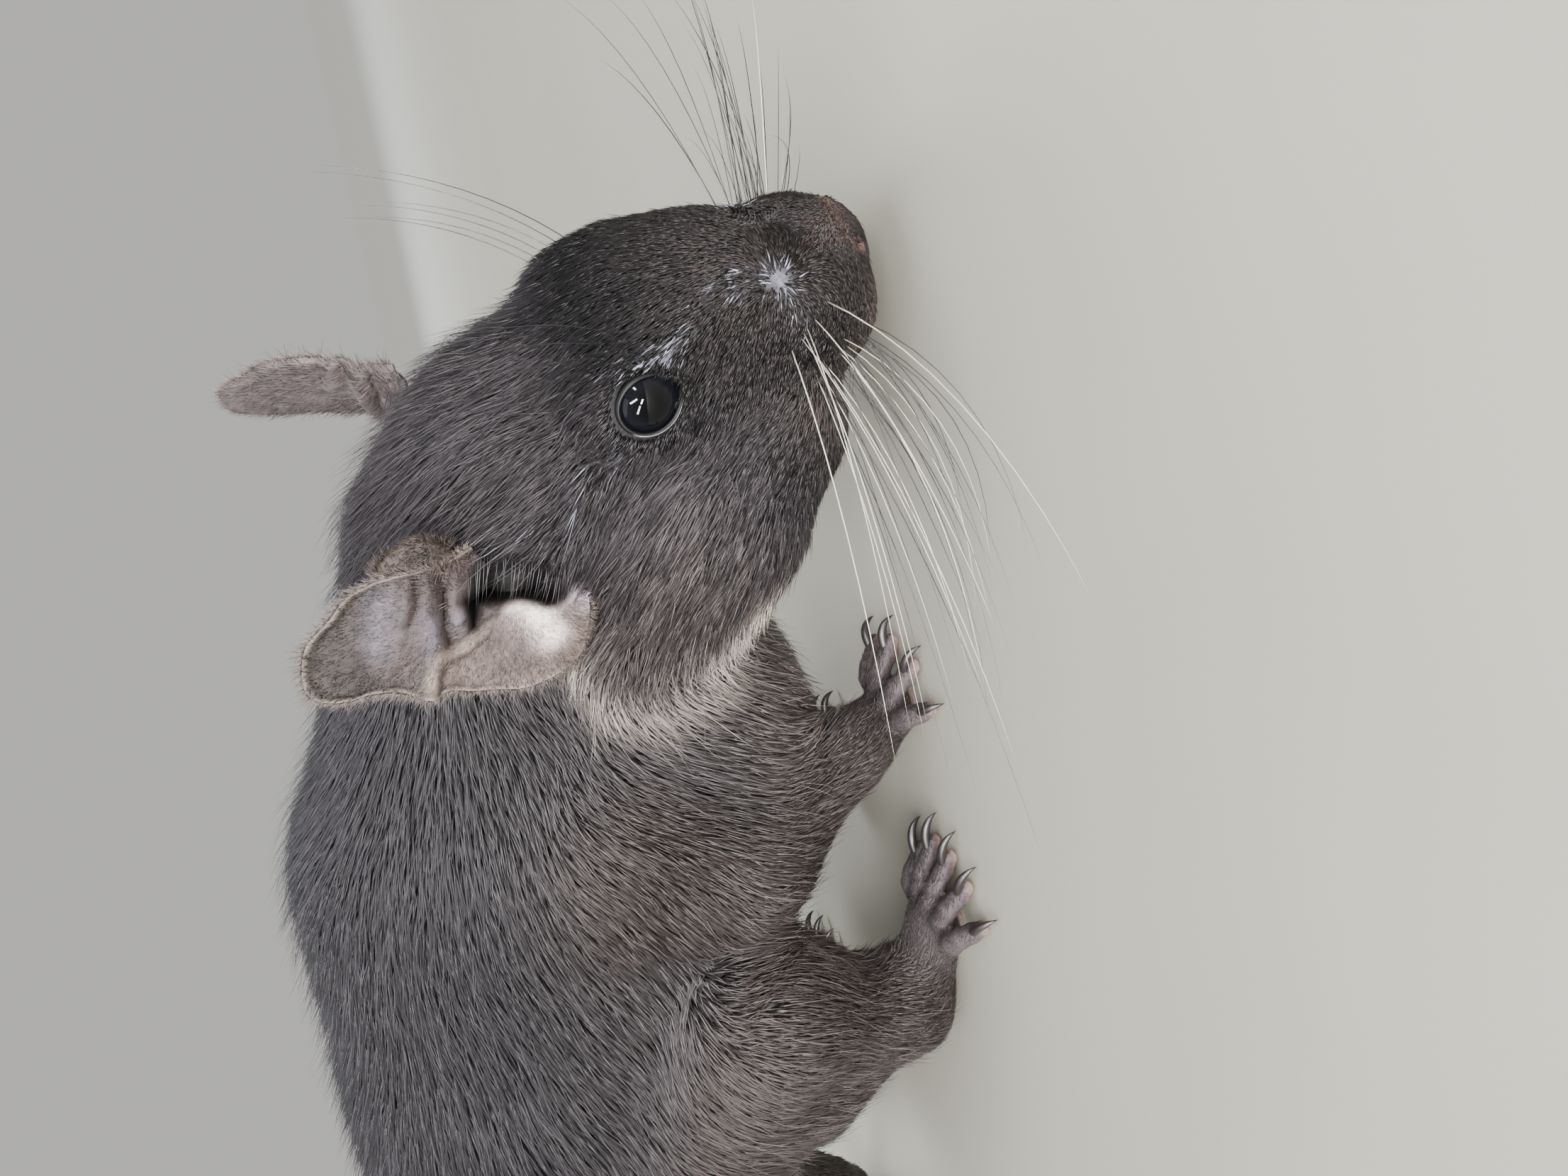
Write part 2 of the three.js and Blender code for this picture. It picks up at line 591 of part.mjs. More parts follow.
function foot(side, last, digits, spread, claw) {
  const base = joint(side, last);
  const pieces = digits.flatMap(([angle, length], i) => {
    const turn = degToRad(side * angle);
    const ahead = vec(Math.cos(turn), Math.sin(turn), 0);
    const shift = spread * (0.5 - i / (digits.length - 1));
    const start = base.clone().add(vec(-0.5, side * shift, -0.3));
    const reach = (share, z) => start.clone().addScaledVector(ahead, length * share).setZ(z);
    const toe = curveThrough([start, reach(0.45, 3.1), reach(0.8, 1.9), reach(1, 1.3)]);
    const past = claw / length;
    const nail = curveThrough([reach(0.92, 1.7), reach(1 + 0.6 * past, 1.9), reach(1 + past, 0.8)]);
    return [
      bar(toe, 3, 5, (along) => lerp(1.65, 1.2, along)),
      bar(nail, 2, 4, (along) => lerp(0.7, 0.28, along)),
    ];
  });
  return joined(pieces);
}

function addLimbs(side, word) {
  const room = sleeves(side);
  const cuts = limbCuts(side);
  const outer = side === RIGHT ? [-38, -1] : [1, 38];
  const chest = joint(side, 'shoulder').x;
  const armBox = [[chest - 40, outer[0], -1], [chest + 24, outer[1], 52]];
  const legBox = [[joint(side, 'hip').x - 22, outer[0], -1], [joint(side, 'hip').x + 46, outer[1], 60]];
  const arm = surface(body, ...armBox, ARM_CELL).intersect(sleeve(room.arm));
  const forearm = surface(body, ...armBox, FOREARM_CELL).intersect(sleeve(room.forearm))
    .subtract(sleeve(room.arm, GAP)).intersect(behind(cuts.wrist));
  const legRoom = [sleeve(room.thigh, GAP), sleeve(room.shank, GAP)];
  add(`upper_arm_${word}`, without(arm, legRoom), FUR);
  add(`forearm_${word}`, without(forearm, legRoom), FUR);
  add(`hand_${word}`, lump(limbs, joint(side, 'palm'), 10, FOOT_CELL).intersect(frontOf(cuts.wrist))
    .add(foot(side, 'palm', FORE_DIGITS, 5, 2.4)).intersect(ABOVE_FLOOR), SKIN);
  add(`thigh_${word}`, surface(body, ...legBox, THIGH_CELL).intersect(sleeve(room.thigh))
    .intersect(behind(cuts.ankle)), FUR);
  add(`shank_${word}`, surface(body, ...legBox, SHANK_CELL).intersect(sleeve(room.shank))
    .subtract(sleeve(room.thigh, GAP)).intersect(behind(cuts.ankle)), FUR);
  const sole = joint(side, 'heel').lerp(joint(side, 'ball'), 0.5);
  add(`hind_foot_${word}`, lump(limbs, sole, 15, FOOT_CELL).intersect(frontOf(cuts.ankle))
    .add(foot(side, 'ball', HIND_DIGITS, 7.5, 3)).intersect(ABOVE_FLOOR), SKIN);
}

// Tail, laid behind on the floor in a slow bend

const TAIL_PATH = curveThrough([
  vec(-66, 0, 27), vec(-78, 1, 16), vec(-92, 3, 5), vec(-112, 7, 2.8),
  vec(-134, 15, 2.3), vec(-152, 27, 2.2), vec(-166, 41, 2.2),
]);
const TAIL_CUTS = [0.27, 0.41, 0.55];
const tailRadius = (along) => (TAIL_THICKNESS / 2) * lerp(1.1, 0.55, along);

function addTail() {
  const length = TAIL_PATH.getLength();
  const brushStart = 1 - TAIL_BRUSH / length;
  const whole = bar(TAIL_PATH, TAIL_STEPS, TAIL_SIDES, tailRadius).intersect(ABOVE_FLOOR);
  const cuts = [...TAIL_CUTS, brushStart].map((along) => (
    { point: TAIL_PATH.getPointAt(along), way: TAIL_PATH.getTangentAt(along) }
  ));
  const rumpRoom = surface(grown(body, 2 * GAP), [-84, -14, 4], [-50, 14, 40], TRUNK_CELL);
  const first = whole.subtract(rumpRoom).intersect(behind(cuts[0]));
  add('tail_1', first, FUR);
  for (let i = 1; i < cuts.length; i++) {
    add(`tail_${i + 1}`, whole.intersect(frontOf(cuts[i - 1])).intersect(behind(cuts[i])), FUR);
  }
  const tip = whole.intersect(frontOf(cuts[cuts.length - 1]));
  add('tail_brush', tip.add(brush(brushStart)).intersect(ABOVE_FLOOR), DARK_FUR);
}

// The brush: flat tapered locks that leave the tail at a low angle and overlap, longer towards the tip
const LOCK_RINGS = 4;
const LOCKS_ROUND = 4;
function brush(start) {
  const random = randomFrom(5);
  const locks = [];
  for (let ring = 0; ring < LOCK_RINGS; ring++) {
    for (let place = 0; place < LOCKS_ROUND; place++) {
      const along = lerp(start + 0.02, 0.985, ring / (LOCK_RINGS - 1));
      const centre = TAIL_PATH.getPointAt(along);
      const way = TAIL_PATH.getTangentAt(along);
      const angle = (2 * Math.PI * (place + 0.5 * (ring % 2))) / LOCKS_ROUND + 0.2 * random();
      const side = vec(0, 0, 1).cross(way).normalize();
      const up = way.clone().cross(side);
      const out = side.multiplyScalar(Math.cos(angle)).addScaledVector(up, Math.sin(angle));
      const length = 16 + 1.5 * random();
      const root = centre.clone().addScaledVector(out, 0.6);
      const middle = centre.clone().addScaledVector(way, length * 0.5).addScaledVector(out, 3.6);
      const tip = centre.clone().addScaledVector(way, length).addScaledVector(out, 5.2 + 0.6 * random());
      for (const spot of [middle, tip]) {
        spot.z = Math.max(spot.z, 0.9);
      }
      locks.push(bar(curveThrough([root, middle, tip]), 3, 4, (t) => lerp(2, 0.6, t * t), 0.5, out));
    }
  }
  return joined(locks);
}

addTrunk();
addHead();
const headRoom = surface(grown(body, 2 * GAP), ...HEAD_BOX, HEAD_CELL);
for (const [side, word] of SIDES) {
  addEar(side, word, headRoom);
  addLimbs(side, word);
}
addTail();

const middle = new THREE.Box3().setFromObject(parts).getCenter(vec(0, 0, 0));
parts.position.set(-middle.x, -middle.y, 0);
parts.updateMatrixWorld(true);

export default parts;
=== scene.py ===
# %% [markdown]
# # A degu at life size, sniffing at the ground
#
# A degu is a small burrowing rodent, about 15 cm long without its tail. This one stands on all fours with
# its head turned to its right and lowered. The lesson builds it over a model that already has the right
# sizes, the frame: first one smooth skin, then eyes, ears and claws, then the coat, hair lock by hair lock.
# The frame could be dressed piece by piece, but then seams would show, so one skin replaces all its flesh.

# %% Load the frame
import math

import bpy
import numpy as np
from mathutils import Euler, Matrix, Vector


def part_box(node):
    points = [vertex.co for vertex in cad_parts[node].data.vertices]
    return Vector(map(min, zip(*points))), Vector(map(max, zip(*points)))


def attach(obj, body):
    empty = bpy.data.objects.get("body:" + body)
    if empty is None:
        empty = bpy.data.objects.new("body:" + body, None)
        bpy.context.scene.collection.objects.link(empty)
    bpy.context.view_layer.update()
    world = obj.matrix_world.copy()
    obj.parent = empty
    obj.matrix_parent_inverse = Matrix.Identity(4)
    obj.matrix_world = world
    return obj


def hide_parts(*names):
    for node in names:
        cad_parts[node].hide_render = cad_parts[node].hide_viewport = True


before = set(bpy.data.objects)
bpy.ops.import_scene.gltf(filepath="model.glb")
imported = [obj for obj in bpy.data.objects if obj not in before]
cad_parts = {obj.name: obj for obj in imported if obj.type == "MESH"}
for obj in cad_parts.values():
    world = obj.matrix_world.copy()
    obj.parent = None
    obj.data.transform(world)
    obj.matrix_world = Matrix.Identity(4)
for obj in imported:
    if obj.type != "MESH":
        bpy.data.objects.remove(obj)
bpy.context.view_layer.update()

# %% [markdown]
# ## Where things are
#
# The frame says where each node is, in metres. It is easier to think of an animal in millimetres, with x
# towards the front, y to its left and z up, and of a head along its own axes. So two small functions turn
# such places into the frame's metres. They could be read off the screen by hand, but a named function
# keeps a piece where it belongs when a size changes.

# %% Places on the body and on the head
MM = 0.001
HEAD_YAW, HEAD_PITCH, HEAD_ROLL = 23.5, 47.4, -3.0  # degrees: to the right, nose down, tilt
EYE_LINE = np.array([50.4, -4.1, 27.7])  # the point midway between the eyes
HEAD_TURN = np.array(Euler([math.radians(a) for a in (-HEAD_ROLL, HEAD_PITCH, -HEAD_YAW)]).to_matrix())
RIGHT, LEFT = -1, 1
SIDES = {RIGHT: "right", LEFT: "left"}


def in_head(x, y, z):
    return EYE_LINE + HEAD_TURN @ np.array([x, y, z], float)


def head_way(x, y, z):
    way = HEAD_TURN @ np.array([x, y, z], float)
    return way / np.linalg.norm(way)


def to_head(points):
    return (points - EYE_LINE) @ HEAD_TURN


def from_head(points):
    return EYE_LINE + points @ HEAD_TURN.T


def unit(vectors):
    return vectors / np.maximum(np.linalg.norm(vectors, axis=-1, keepdims=True), 1e-9)


# %% Where the eyes are
EYE_RADIUS = 3.9
EYE_PLACE = np.array([2.2, 7.6, 0.7])  # in the head's axes, on its left
EYE_FRONT = EYE_PLACE + [0.9, 2.6, 0.9]  # where the ball stands out furthest


def eye_centre(side):
    return in_head(*(EYE_PLACE * [1, side, 1]))


def gaze(side):
    return head_way(0.3, side * 0.9, 0.3)


eye_box = np.array(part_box("eye_right")) / MM
SHIFT = eye_box.mean(axis=0) - eye_centre(RIGHT)


def to_frame(points):
    return (np.asarray(points) + SHIFT) * MM


print("the body's zero lies at", np.round(SHIFT, 2), "mm in the frame")

# %% [markdown]
# ## The forms of the body
#
# Under its fur a degu is round everywhere: a deep rump, a barrel of ribs, a thick neck and a blunt wedge of
# a head with full cheeks. Such a body could be sculpted, but the frame was made from eggs and cones that
# flow into each other, so the same forms are named again here. Each field gives the distance from a point
# to a form, negative inside. Blending two fields makes the soft valley that skin makes between two muscles.

# %% Fields of eggs and cones
def cone(a, b, radius_a, radius_b):
    a, b = np.array(a, float), np.array(b, float)
    axis = b - a

    def field(points):
        along = np.clip((points - a) @ axis / (axis @ axis), 0, 1)
        near = a + along[:, None] * axis
        return np.linalg.norm(points - near, axis=1) - (radius_a + along * (radius_b - radius_a))
    return field


def egg(centre, half, turned=False):
    centre, half = np.array(centre, float), np.array(half, float)

    def field(points):
        scaled = ((to_head(points) if turned else points) - centre) / half
        near = np.linalg.norm(scaled, axis=1)
        steep = np.maximum(np.linalg.norm(scaled / half, axis=1), 1e-6)
        return near * (near - 1) / steep
    return field


def blend(reach, forms):
    def field(points):
        near = forms[0](points)
        for form in forms[1:]:
            far = form(points)
            overlap = np.maximum(reach - np.abs(near - far), 0) / reach
            near = np.minimum(near, far) - overlap * overlap * reach / 4
        return near
    return field


# %% The named forms
BACK_HEIGHT, BELLY_CLEARANCE = 69, 13
HIP_WIDTH, CHEST_WIDTH = 54, 46
MIDDLE = (BACK_HEIGHT + BELLY_CLEARANCE) / 2
HALF_DEPTH = (BACK_HEIGHT - BELLY_CLEARANCE) / 2
TRUNK_EGGS = [
    ((-29, 0, MIDDLE), (31, HIP_WIDTH / 2 - 0.5, HALF_DEPTH)),
    ((-47, 0, MIDDLE), (27, HIP_WIDTH / 2, HALF_DEPTH)),
    ((-9, 0, MIDDLE - 0.5), (24, CHEST_WIDTH / 2, HALF_DEPTH - 1)),
    ((6, -1.5, 25), (17, 15, 16)),
]
NECK_CONES = [
    ((2, 0, 44.5), in_head(-26, 0, -7.5), 21, 13),
    ((6, -1, 30), in_head(-14, 0, -16), 15, 11),
]
HEAD_EGGS = [((-13, 0, -3), (18, 13, 12)), ((2, 0, -4), (16, 11, 11.5))]
HEAD_CONES = [
    (in_head(5, 0, -5), in_head(17.8, 0, -8.3), 10, 6),
    (in_head(-10, 0, -15), in_head(12, 0, -14), 8.5, 4.5),
]
for side in SIDES:
    HEAD_EGGS += [
        ((-8, side * 10.3, -15.5), (14, 9, 12.6)),  # cheek
        ((4, side * 8, -13.6), (10, 7.2, 8.4)),
        ((-16, side * 11, -16.5), (10, 8, 10)),  # ruff
        ((15.8, side * 4.4, -9.6), (6.4, 4.8, 6)),  # lip
        ((2.2, side * 6.8, 1), (6.5, 4.4, 4.6)),  # brow
    ]
    HEAD_CONES.append((in_head(-14.5, side * 8, -3), in_head(-17.5, side * 10.5, -2), 6.5, 5))  # ear root

# %% The nose and the bones of the limbs
NOSE_EGGS = [
    ((21.6, 0, -8.4), (2.9, 3, 3)), ((22, 2.1, -7.9), (2.2, 1.9, 2.2)),
    ((22, -2.1, -7.9), (2.2, 1.9, 2.2)), ((22.2, 0, -11), (1.6, 1.2, 2.4)),
]
LIMBS = {
    RIGHT: {
        "shoulder": (3, 13, 36), "elbow": (-3, 15, 22), "wrist": (5, 11, 7.5), "palm": (8, 9.5, 2.4),
        "hip": (-46, 14, 37), "knee": (-18, 21.5, 23), "calf": (-31, 20.5, 19), "ankle": (-24, 20.5, 8),
        "heel": (-26.5, 20.5, 5), "ball": (-13.5, 20.5, 2.4),
    },
    LEFT: {
        "shoulder": (-5, 13, 36), "elbow": (-20, 15, 22), "wrist": (-17, 10, 7.5), "palm": (-13.5, 9.5, 2.4),
        "hip": (-50, 14, 37), "knee": (-47, 20, 23), "calf": (-59, 19, 18.5), "ankle": (-72, 17.5, 8),
        "heel": (-76, 17, 5), "ball": (-63, 17, 2.4),
    },
}


def joint(side, name):
    x, y, z = LIMBS[side][name]
    return np.array([x, side * y, z], float)


# Each bone's ends, the radii of the flesh there and the depth and length of its fur
BONES = [
    ("shoulder", "elbow", 10, 7, 1.5, 4.0), ("elbow", "wrist", 6.4, 3.5, 0.9, 2.6),
    ("wrist", "palm", 3.3, 2.9, 0.3, 1.3), ("hip", "knee", 15, 9.5, 1.7, 4.6),
    ("knee", "ankle", 8.6, 4.6, 1.0, 3.0), ("calf", "ankle", 7.5, 4.8, 1.0, 3.0),
    ("ankle", "heel", 4.4, 3.2, 0.35, 1.5), ("heel", "ball", 3.2, 3.4, 0.2, 1.1),
]
LIMB_CONES = [
    (joint(side, a), joint(side, b), ra, rb) for side in SIDES for a, b, ra, rb, depth, length in BONES
]
print(len(TRUNK_EGGS + NECK_CONES + HEAD_EGGS + HEAD_CONES + LIMB_CONES), "forms in the body")


# %% [markdown]
# ## Toes and tail
#
# A degu walks on its whole hind foot, with five toes, and on a small hand with four fingers. The tail is a
# thin tapering rod that lies on the floor. Both follow curves, so one function walks along a curve through
# a few points. A Bezier object could do that too, but here its points are needed as numbers as well.

# %% Curves through points
def curve_at(points, shares):
    """Places at these shares of the length of a smooth curve through the points."""
    points = np.array(points, float)
    ends = np.vstack([2 * points[0] - points[1], points, 2 * points[-1] - points[-2]])
    steps = np.linspace(0, 1, 24, endpoint=False)[:, None]
    fine = []
    for p0, p1, p2, p3 in zip(ends, ends[1:], ends[2:], ends[3:]):
        fine.append(0.5 * (2 * p1 + (p2 - p0) * steps + (2 * p0 - 5 * p1 + 4 * p2 - p3) * steps**2
                           + (3 * p1 - p0 - 3 * p2 + p3) * steps**3))
    fine = np.vstack(fine + [points[-1:]])
    run = np.concatenate([[0], np.cumsum(np.linalg.norm(np.diff(fine, axis=0), axis=1))])
    shares = np.asarray(shares) * run[-1]
    return np.stack([np.interp(shares, run, fine[:, axis]) for axis in range(points.shape[1])], axis=-1)


# %% Toes
FORE_DIGITS = [(48, 6), (16, 7.4), (-14, 7.4), (-42, 6.6)]  # degrees outwards, length
HIND_DIGITS = [(36, 7), (16, 8.6), (3, 9.4), (-9, 8.8), (-26, 6)]
FEET = [("palm", FORE_DIGITS, 4.6, 2.9), ("ball", HIND_DIGITS, 7.2, 3.6)]  # with spread and claw length
TOE_RADIUS, TOE_TIP_RADIUS = 1.25, 0.9
TOE_BENDS = [(0.45, 3.0), (0.8, 1.65), (1.0, 1.05)]  # shares of a digit's length, and heights


def toe_paths():
    """Each digit: its path, its direction and the length of its claw."""
    for side in SIDES:
        for last, digits, spread, claw in FEET:
            base = joint(side, last)
            for i, (angle, length) in enumerate(digits):
                turn = math.radians(side * angle)
                ahead = np.array([math.cos(turn), math.sin(turn), 0])
                start = base + [-0.5, side * spread * (0.5 - i / (len(digits) - 1)), -0.3]
                reach = [start + ahead * length * share for share, height in TOE_BENDS]
                for spot, (share, height) in zip(reach, TOE_BENDS):
                    spot[2] = height
                yield [start, *reach], ahead, claw


TOES = list(toe_paths())
TOE_STEPS = 5
TOE_CONES = []
for path, ahead, claw in TOES:
    spots = curve_at(path, np.linspace(0, 1, TOE_STEPS + 1))
    radii = np.linspace(TOE_RADIUS, TOE_TIP_RADIUS, TOE_STEPS + 1)
    TOE_CONES += [(spots[i], spots[i + 1], radii[i], radii[i + 1]) for i in range(TOE_STEPS)]
print(len(TOES), "digits of", len(TOE_CONES), "cones")

# %% The tail
TAIL_POINTS = [(-66, 0, 27), (-78, 1, 16), (-92, 3, 5), (-112, 7, 2.8), (-134, 15, 2.3), (-152, 27, 2.2),
               (-166, 41, 2.2)]
TAIL_THICKNESS, TAIL_BRUSH = 7.4, 42
ROOT_SHARE, TIP_SHARE = 1.1, 0.55  # of that thickness


def tail_radius(along):
    return TAIL_THICKNESS / 2 * (ROOT_SHARE + (TIP_SHARE - ROOT_SHARE) * along)


TAIL_STEPS = 22
tail_shares = np.linspace(0, 1, TAIL_STEPS + 1)
tail_places = curve_at(TAIL_POINTS, tail_shares)
TAIL_LENGTH = np.linalg.norm(np.diff(tail_places, axis=0), axis=1).sum()
TAIL_CONES = [
    (tail_places[i], tail_places[i + 1], tail_radius(tail_shares[i]), tail_radius(tail_shares[i + 1]))
    for i in range(TAIL_STEPS)
]
print("a tail of", round(TAIL_LENGTH), "mm")

# %% The body as one field
trunk_field = blend(7, [egg(*form) for form in TRUNK_EGGS] + [cone(*form) for form in NECK_CONES])
head_field = blend(3, [egg(*form, turned=True) for form in HEAD_EGGS] + [cone(*form) for form in HEAD_CONES])
limb_field = blend(4, [cone(*form) for form in LIMB_CONES])
nose_field = blend(1, [egg(*form, turned=True) for form in NOSE_EGGS])
toe_field = blend(0.7, [cone(*form) for form in TOE_CONES])
tail_field = blend(0.5, [cone(*form) for form in TAIL_CONES])
flesh = blend(5, [trunk_field, head_field, limb_field])


def body_field(points):
    """Distance to the animal's outline; far parts are left out where they can't matter."""
    out = flesh(points)
    for extra, reach, low, high in (
        (nose_field, 1.0, in_head(21, 0, -9) - 9, in_head(21, 0, -9) + 9),
        (toe_field, 1.2, np.array([-90, -45, -5]), np.array([30, 45, 9])),
        (tail_field, 4.0, np.array([-175, -12, -5]), np.array([-52, 50, 36])),
    ):
        near = np.all((points > low) & (points < high), axis=1)
        if near.any():
            out[near] = blend(reach, [lambda p, base=out[near]: base, extra])(points[near])
    return out


def slope(field, points, step=0.05):
    """The direction in which a field grows fastest, and how fast."""
    here = field(points)
    ways = [(field(points + step * axis) - here) / step for axis in np.eye(3)]
    return here, np.stack(ways, axis=1)


# %% [markdown]
# ## How deep the coat is, and which way it lies
#
# Fur hides the true body. On the back it is two millimetres deep, on the face less than one, and on the
# feet almost nothing. It also has a lie: it starts at the nose, runs back over the head and the trunk, and
# down the limbs. Both could be painted or combed by hand. Here each form of the body says how its own fur
# is, and a place takes the average of the forms that it is near to, so all changes are soft.

# %% The fur of the head and the tail
WHORL = np.array([17.2, 5.4, -2.5])  # on the right the y is negative


def smooth(x, low, high):
    share = np.clip((x - low) / (high - low), 0, 1)
    return share * share * (3 - 2 * share)


def mirrored(points):
    """Places in the head's axes, as if all were on its left."""
    h = to_head(points)
    h[:, 1] = np.abs(h[:, 1])
    return h


def head_lie(points):
    h = to_head(points)
    side = np.where(h[:, 1] < 0, -1.0, 1.0)
    back = np.tile([-1.0, 0, 0], (len(h), 1))
    back[:, 2] = -0.3 * (1 - smooth(h[:, 2], -6, 2)) + 0.15 * smooth(h[:, 2], 3, 8)
    away = mirrored(points) - WHORL
    far = np.linalg.norm(away, axis=1)
    near = np.exp(-(far / np.where(away[:, 0] > 0, 5.0, 3.4)) ** 2)[:, None]
    away = unit(away) * np.stack([np.ones_like(side), side, np.ones_like(side)], axis=1)
    return unit(back * (1 - near) + away * near) @ HEAD_TURN.T


def head_length(points):
    h = mirrored(points)
    length = 1.5 + 3.0 * smooth(-h[:, 0], -18, 6)
    length += 0.9 * smooth(-h[:, 2], 2, 14) * smooth(-h[:, 0], -8, 6)
    length += 1.4 * smooth(-h[:, 0], 10, 22)
    from_eye = np.linalg.norm(h - EYE_FRONT, axis=1)
    return length * (0.4 + 0.6 * smooth(from_eye, 3.4, 6.5))


def head_depth(points):
    h = mirrored(points)
    return 0.35 + 0.95 * smooth(-h[:, 0], -16, 12) + 0.5 * smooth(-h[:, 0], 10, 22)


def tail_way(points):
    middles = (tail_places[1:] + tail_places[:-1]) / 2
    nearest = np.argmin(((points[:, None, :] - middles[None]) ** 2).sum(axis=2), axis=1)
    return unit(np.diff(tail_places, axis=0))[nearest]


# %% The fur of each form
def steady(*values):
    return lambda points: np.tile(np.array(values, float), (len(points), 1))


def even(value):
    return lambda points: np.full(len(points), float(value))


ZONES = [  # the form, its lie, and the depth, length and width of its tufts
    (blend(7, [egg(*form) for form in TRUNK_EGGS[:3]]), None, even(2.0), even(5.4), even(0.25)),
    (egg(*TRUNK_EGGS[3]), steady(-0.5, 0, -0.9), even(1.8), even(4.6), even(0.24)),
    (cone(*NECK_CONES[0]), steady(-1, 0, -0.1), even(1.9), even(4.8), even(0.23)),
    (cone(*NECK_CONES[1]), steady(-0.75, 0, -0.6), even(1.8), even(4.6), even(0.23)),
    (head_field, head_lie, head_depth, head_length, even(0.17)),
    (tail_field, tail_way, even(0.6), even(2.3), even(0.16)),
    (toe_field, steady(1, 0, 0), even(0.02), even(0.7), even(0.1)),
    (nose_field, steady(-1, 0, 0), even(0.02), even(0.7), even(0.1)),
]
TRUNK_ZONES, HEAD_ZONE, TAIL_ZONE, TOE_ZONE, NOSE_ZONE = slice(0, 4), 4, 5, 6, 7
LIMB_ZONES = slice(len(ZONES), None)
HAND_ZONES, FOOT_ZONES = [], []
for side in SIDES:
    for a, b, radius_a, radius_b, depth, length in BONES:
        way = unit(joint(side, b) - joint(side, a))
        if b in ("elbow", "knee"):
            way = unit(way + [-1.2, 0, -0.7])  # the upper limb's fur still runs back with the trunk's
        if a in ("knee", "calf"):
            way = unit(way + [-0.4, 0, -0.4])
        if b == "palm":
            HAND_ZONES.append(len(ZONES))
        if b in ("heel", "ball"):
            FOOT_ZONES.append(len(ZONES))
        thin = 0.1 + 0.03 * length
        ZONES.append((cone(joint(side, a), joint(side, b), radius_a, radius_b), steady(*way), even(depth),
                      even(length), even(thin)))
print(len(ZONES), "forms carry fur")


# %% The fur at a place
def trunk_lie(points, normals):
    """Back along the spine, down over the flanks, and down behind the rump."""
    flank = np.abs(normals[:, 1])
    rump = smooth(-points[:, 0], 58, 76)
    way = np.stack([-1 + 0.3 * rump, 0 * flank, -0.5 * flank - 0.8 * rump], axis=1)
    return unit(way)


def fur_at(points, normals=None):
    """Depth, length, width and lie of the fur, averaged over the forms near each place."""
    near = np.stack([zone[0](points) for zone in ZONES])
    share = np.exp(-(near - near.min(axis=0)) / 1.3)
    share /= share.sum(axis=0)
    depth, length, width = (sum(s * zone[k](points) for s, zone in zip(share, ZONES)) for k in (2, 3, 4))
    if normals is None:
        return depth, length, width, None, share
    lie = share[0][:, None] * trunk_lie(points, normals)
    for s, zone in zip(share[1:], ZONES[1:]):
        lie = lie + s[:, None] * zone[1](points)
    lie -= (lie * normals).sum(axis=1)[:, None] * normals
    return depth, length, width, unit(lie), share


# %% [markdown]
# ## The skin
#
# One closed skin carries everything. It could be drawn vertex by vertex or sculpted from a ball. It is made
# here as a sculptor uses clay: balls and cones are put down at the named places, a voxel remesh melts them
# into one even net, and each corner of the net is then drawn onto the smooth field, the coat's depth below
# the animal's outline. Finer net goes only where finer shapes are: eyes, nose, mouth and feet.

# %% Helpers for modelling
def choose(*objects):
    bpy.ops.object.select_all(action="DESELECT")
    for o in objects:
        o.select_set(True)
    bpy.context.view_layer.objects.active = objects[0]


def ball_at(centre, half, turned=False):
    bpy.ops.object.select_all(action="DESELECT")
    place = in_head(*centre) if turned else centre
    turn = Matrix(HEAD_TURN).to_euler() if turned else (0, 0, 0)
    bpy.ops.mesh.primitive_ico_sphere_add(
        subdivisions=4, radius=MM, location=to_frame(place), rotation=turn, scale=half)
    return bpy.context.object


def capsule_at(a, b, radius_a, radius_b):
    """A cone and the two balls at its ends."""
    a, b = np.array(a, float), np.array(b, float)
    turn = Vector(b - a).to_track_quat("Z", "Y").to_euler()
    bpy.ops.object.select_all(action="DESELECT")
    bpy.ops.mesh.primitive_cone_add(
        vertices=32, radius1=radius_a * MM, radius2=radius_b * MM, depth=np.linalg.norm(b - a) * MM,
        location=to_frame((a + b) / 2), rotation=turn)
    middle = bpy.context.object
    return [middle, ball_at(a, [radius_a] * 3), ball_at(b, [radius_b] * 3)]


def named(name):
    """The piece that the last operator made, under its name."""
    piece = bpy.context.object
    piece.name = piece.data.name = name
    return piece


def joined(objects, name):
    choose(*objects)
    bpy.ops.object.join()
    bpy.ops.object.transform_apply(location=True, rotation=True, scale=True)
    return named(name)


# %% Helpers for changing a mesh
def apply_modifier(piece, kind, **settings):
    modifier = piece.modifiers.new(kind, kind)
    for name, value in settings.items():
        setattr(modifier, name, value)
    choose(piece)
    bpy.ops.object.modifier_apply(modifier=modifier.name)


def turn_outwards(piece):
    """Points all faces of a piece outwards."""
    choose(piece)
    bpy.ops.object.mode_set(mode="EDIT")
    bpy.ops.mesh.select_all(action="SELECT")
    bpy.ops.mesh.normals_make_consistent(inside=False)
    bpy.ops.object.mode_set(mode="OBJECT")


def read(items, field, width=3, kind=np.float32):
    """One field of all corners, faces or loops of a mesh, a row for each."""
    flat = np.empty(width * len(items), kind)
    items.foreach_get(field, flat)
    return flat.reshape(-1, width)


def raw_corners(piece):
    return read(piece.data.vertices, "co").astype(float)


def corners_of(piece):
    """The corners of a piece's mesh in body millimetres."""
    return raw_corners(piece) / MM - SHIFT


def move_corners(piece, points):
    piece.data.vertices.foreach_set("co", to_frame(points).astype(np.float32).ravel())
    piece.data.update()


def keep_above(low, *rows):
    """Lifts the spots that are lower than this height."""
    for spots in rows:
        spots[:, 2] = np.maximum(spots[:, 2], low)


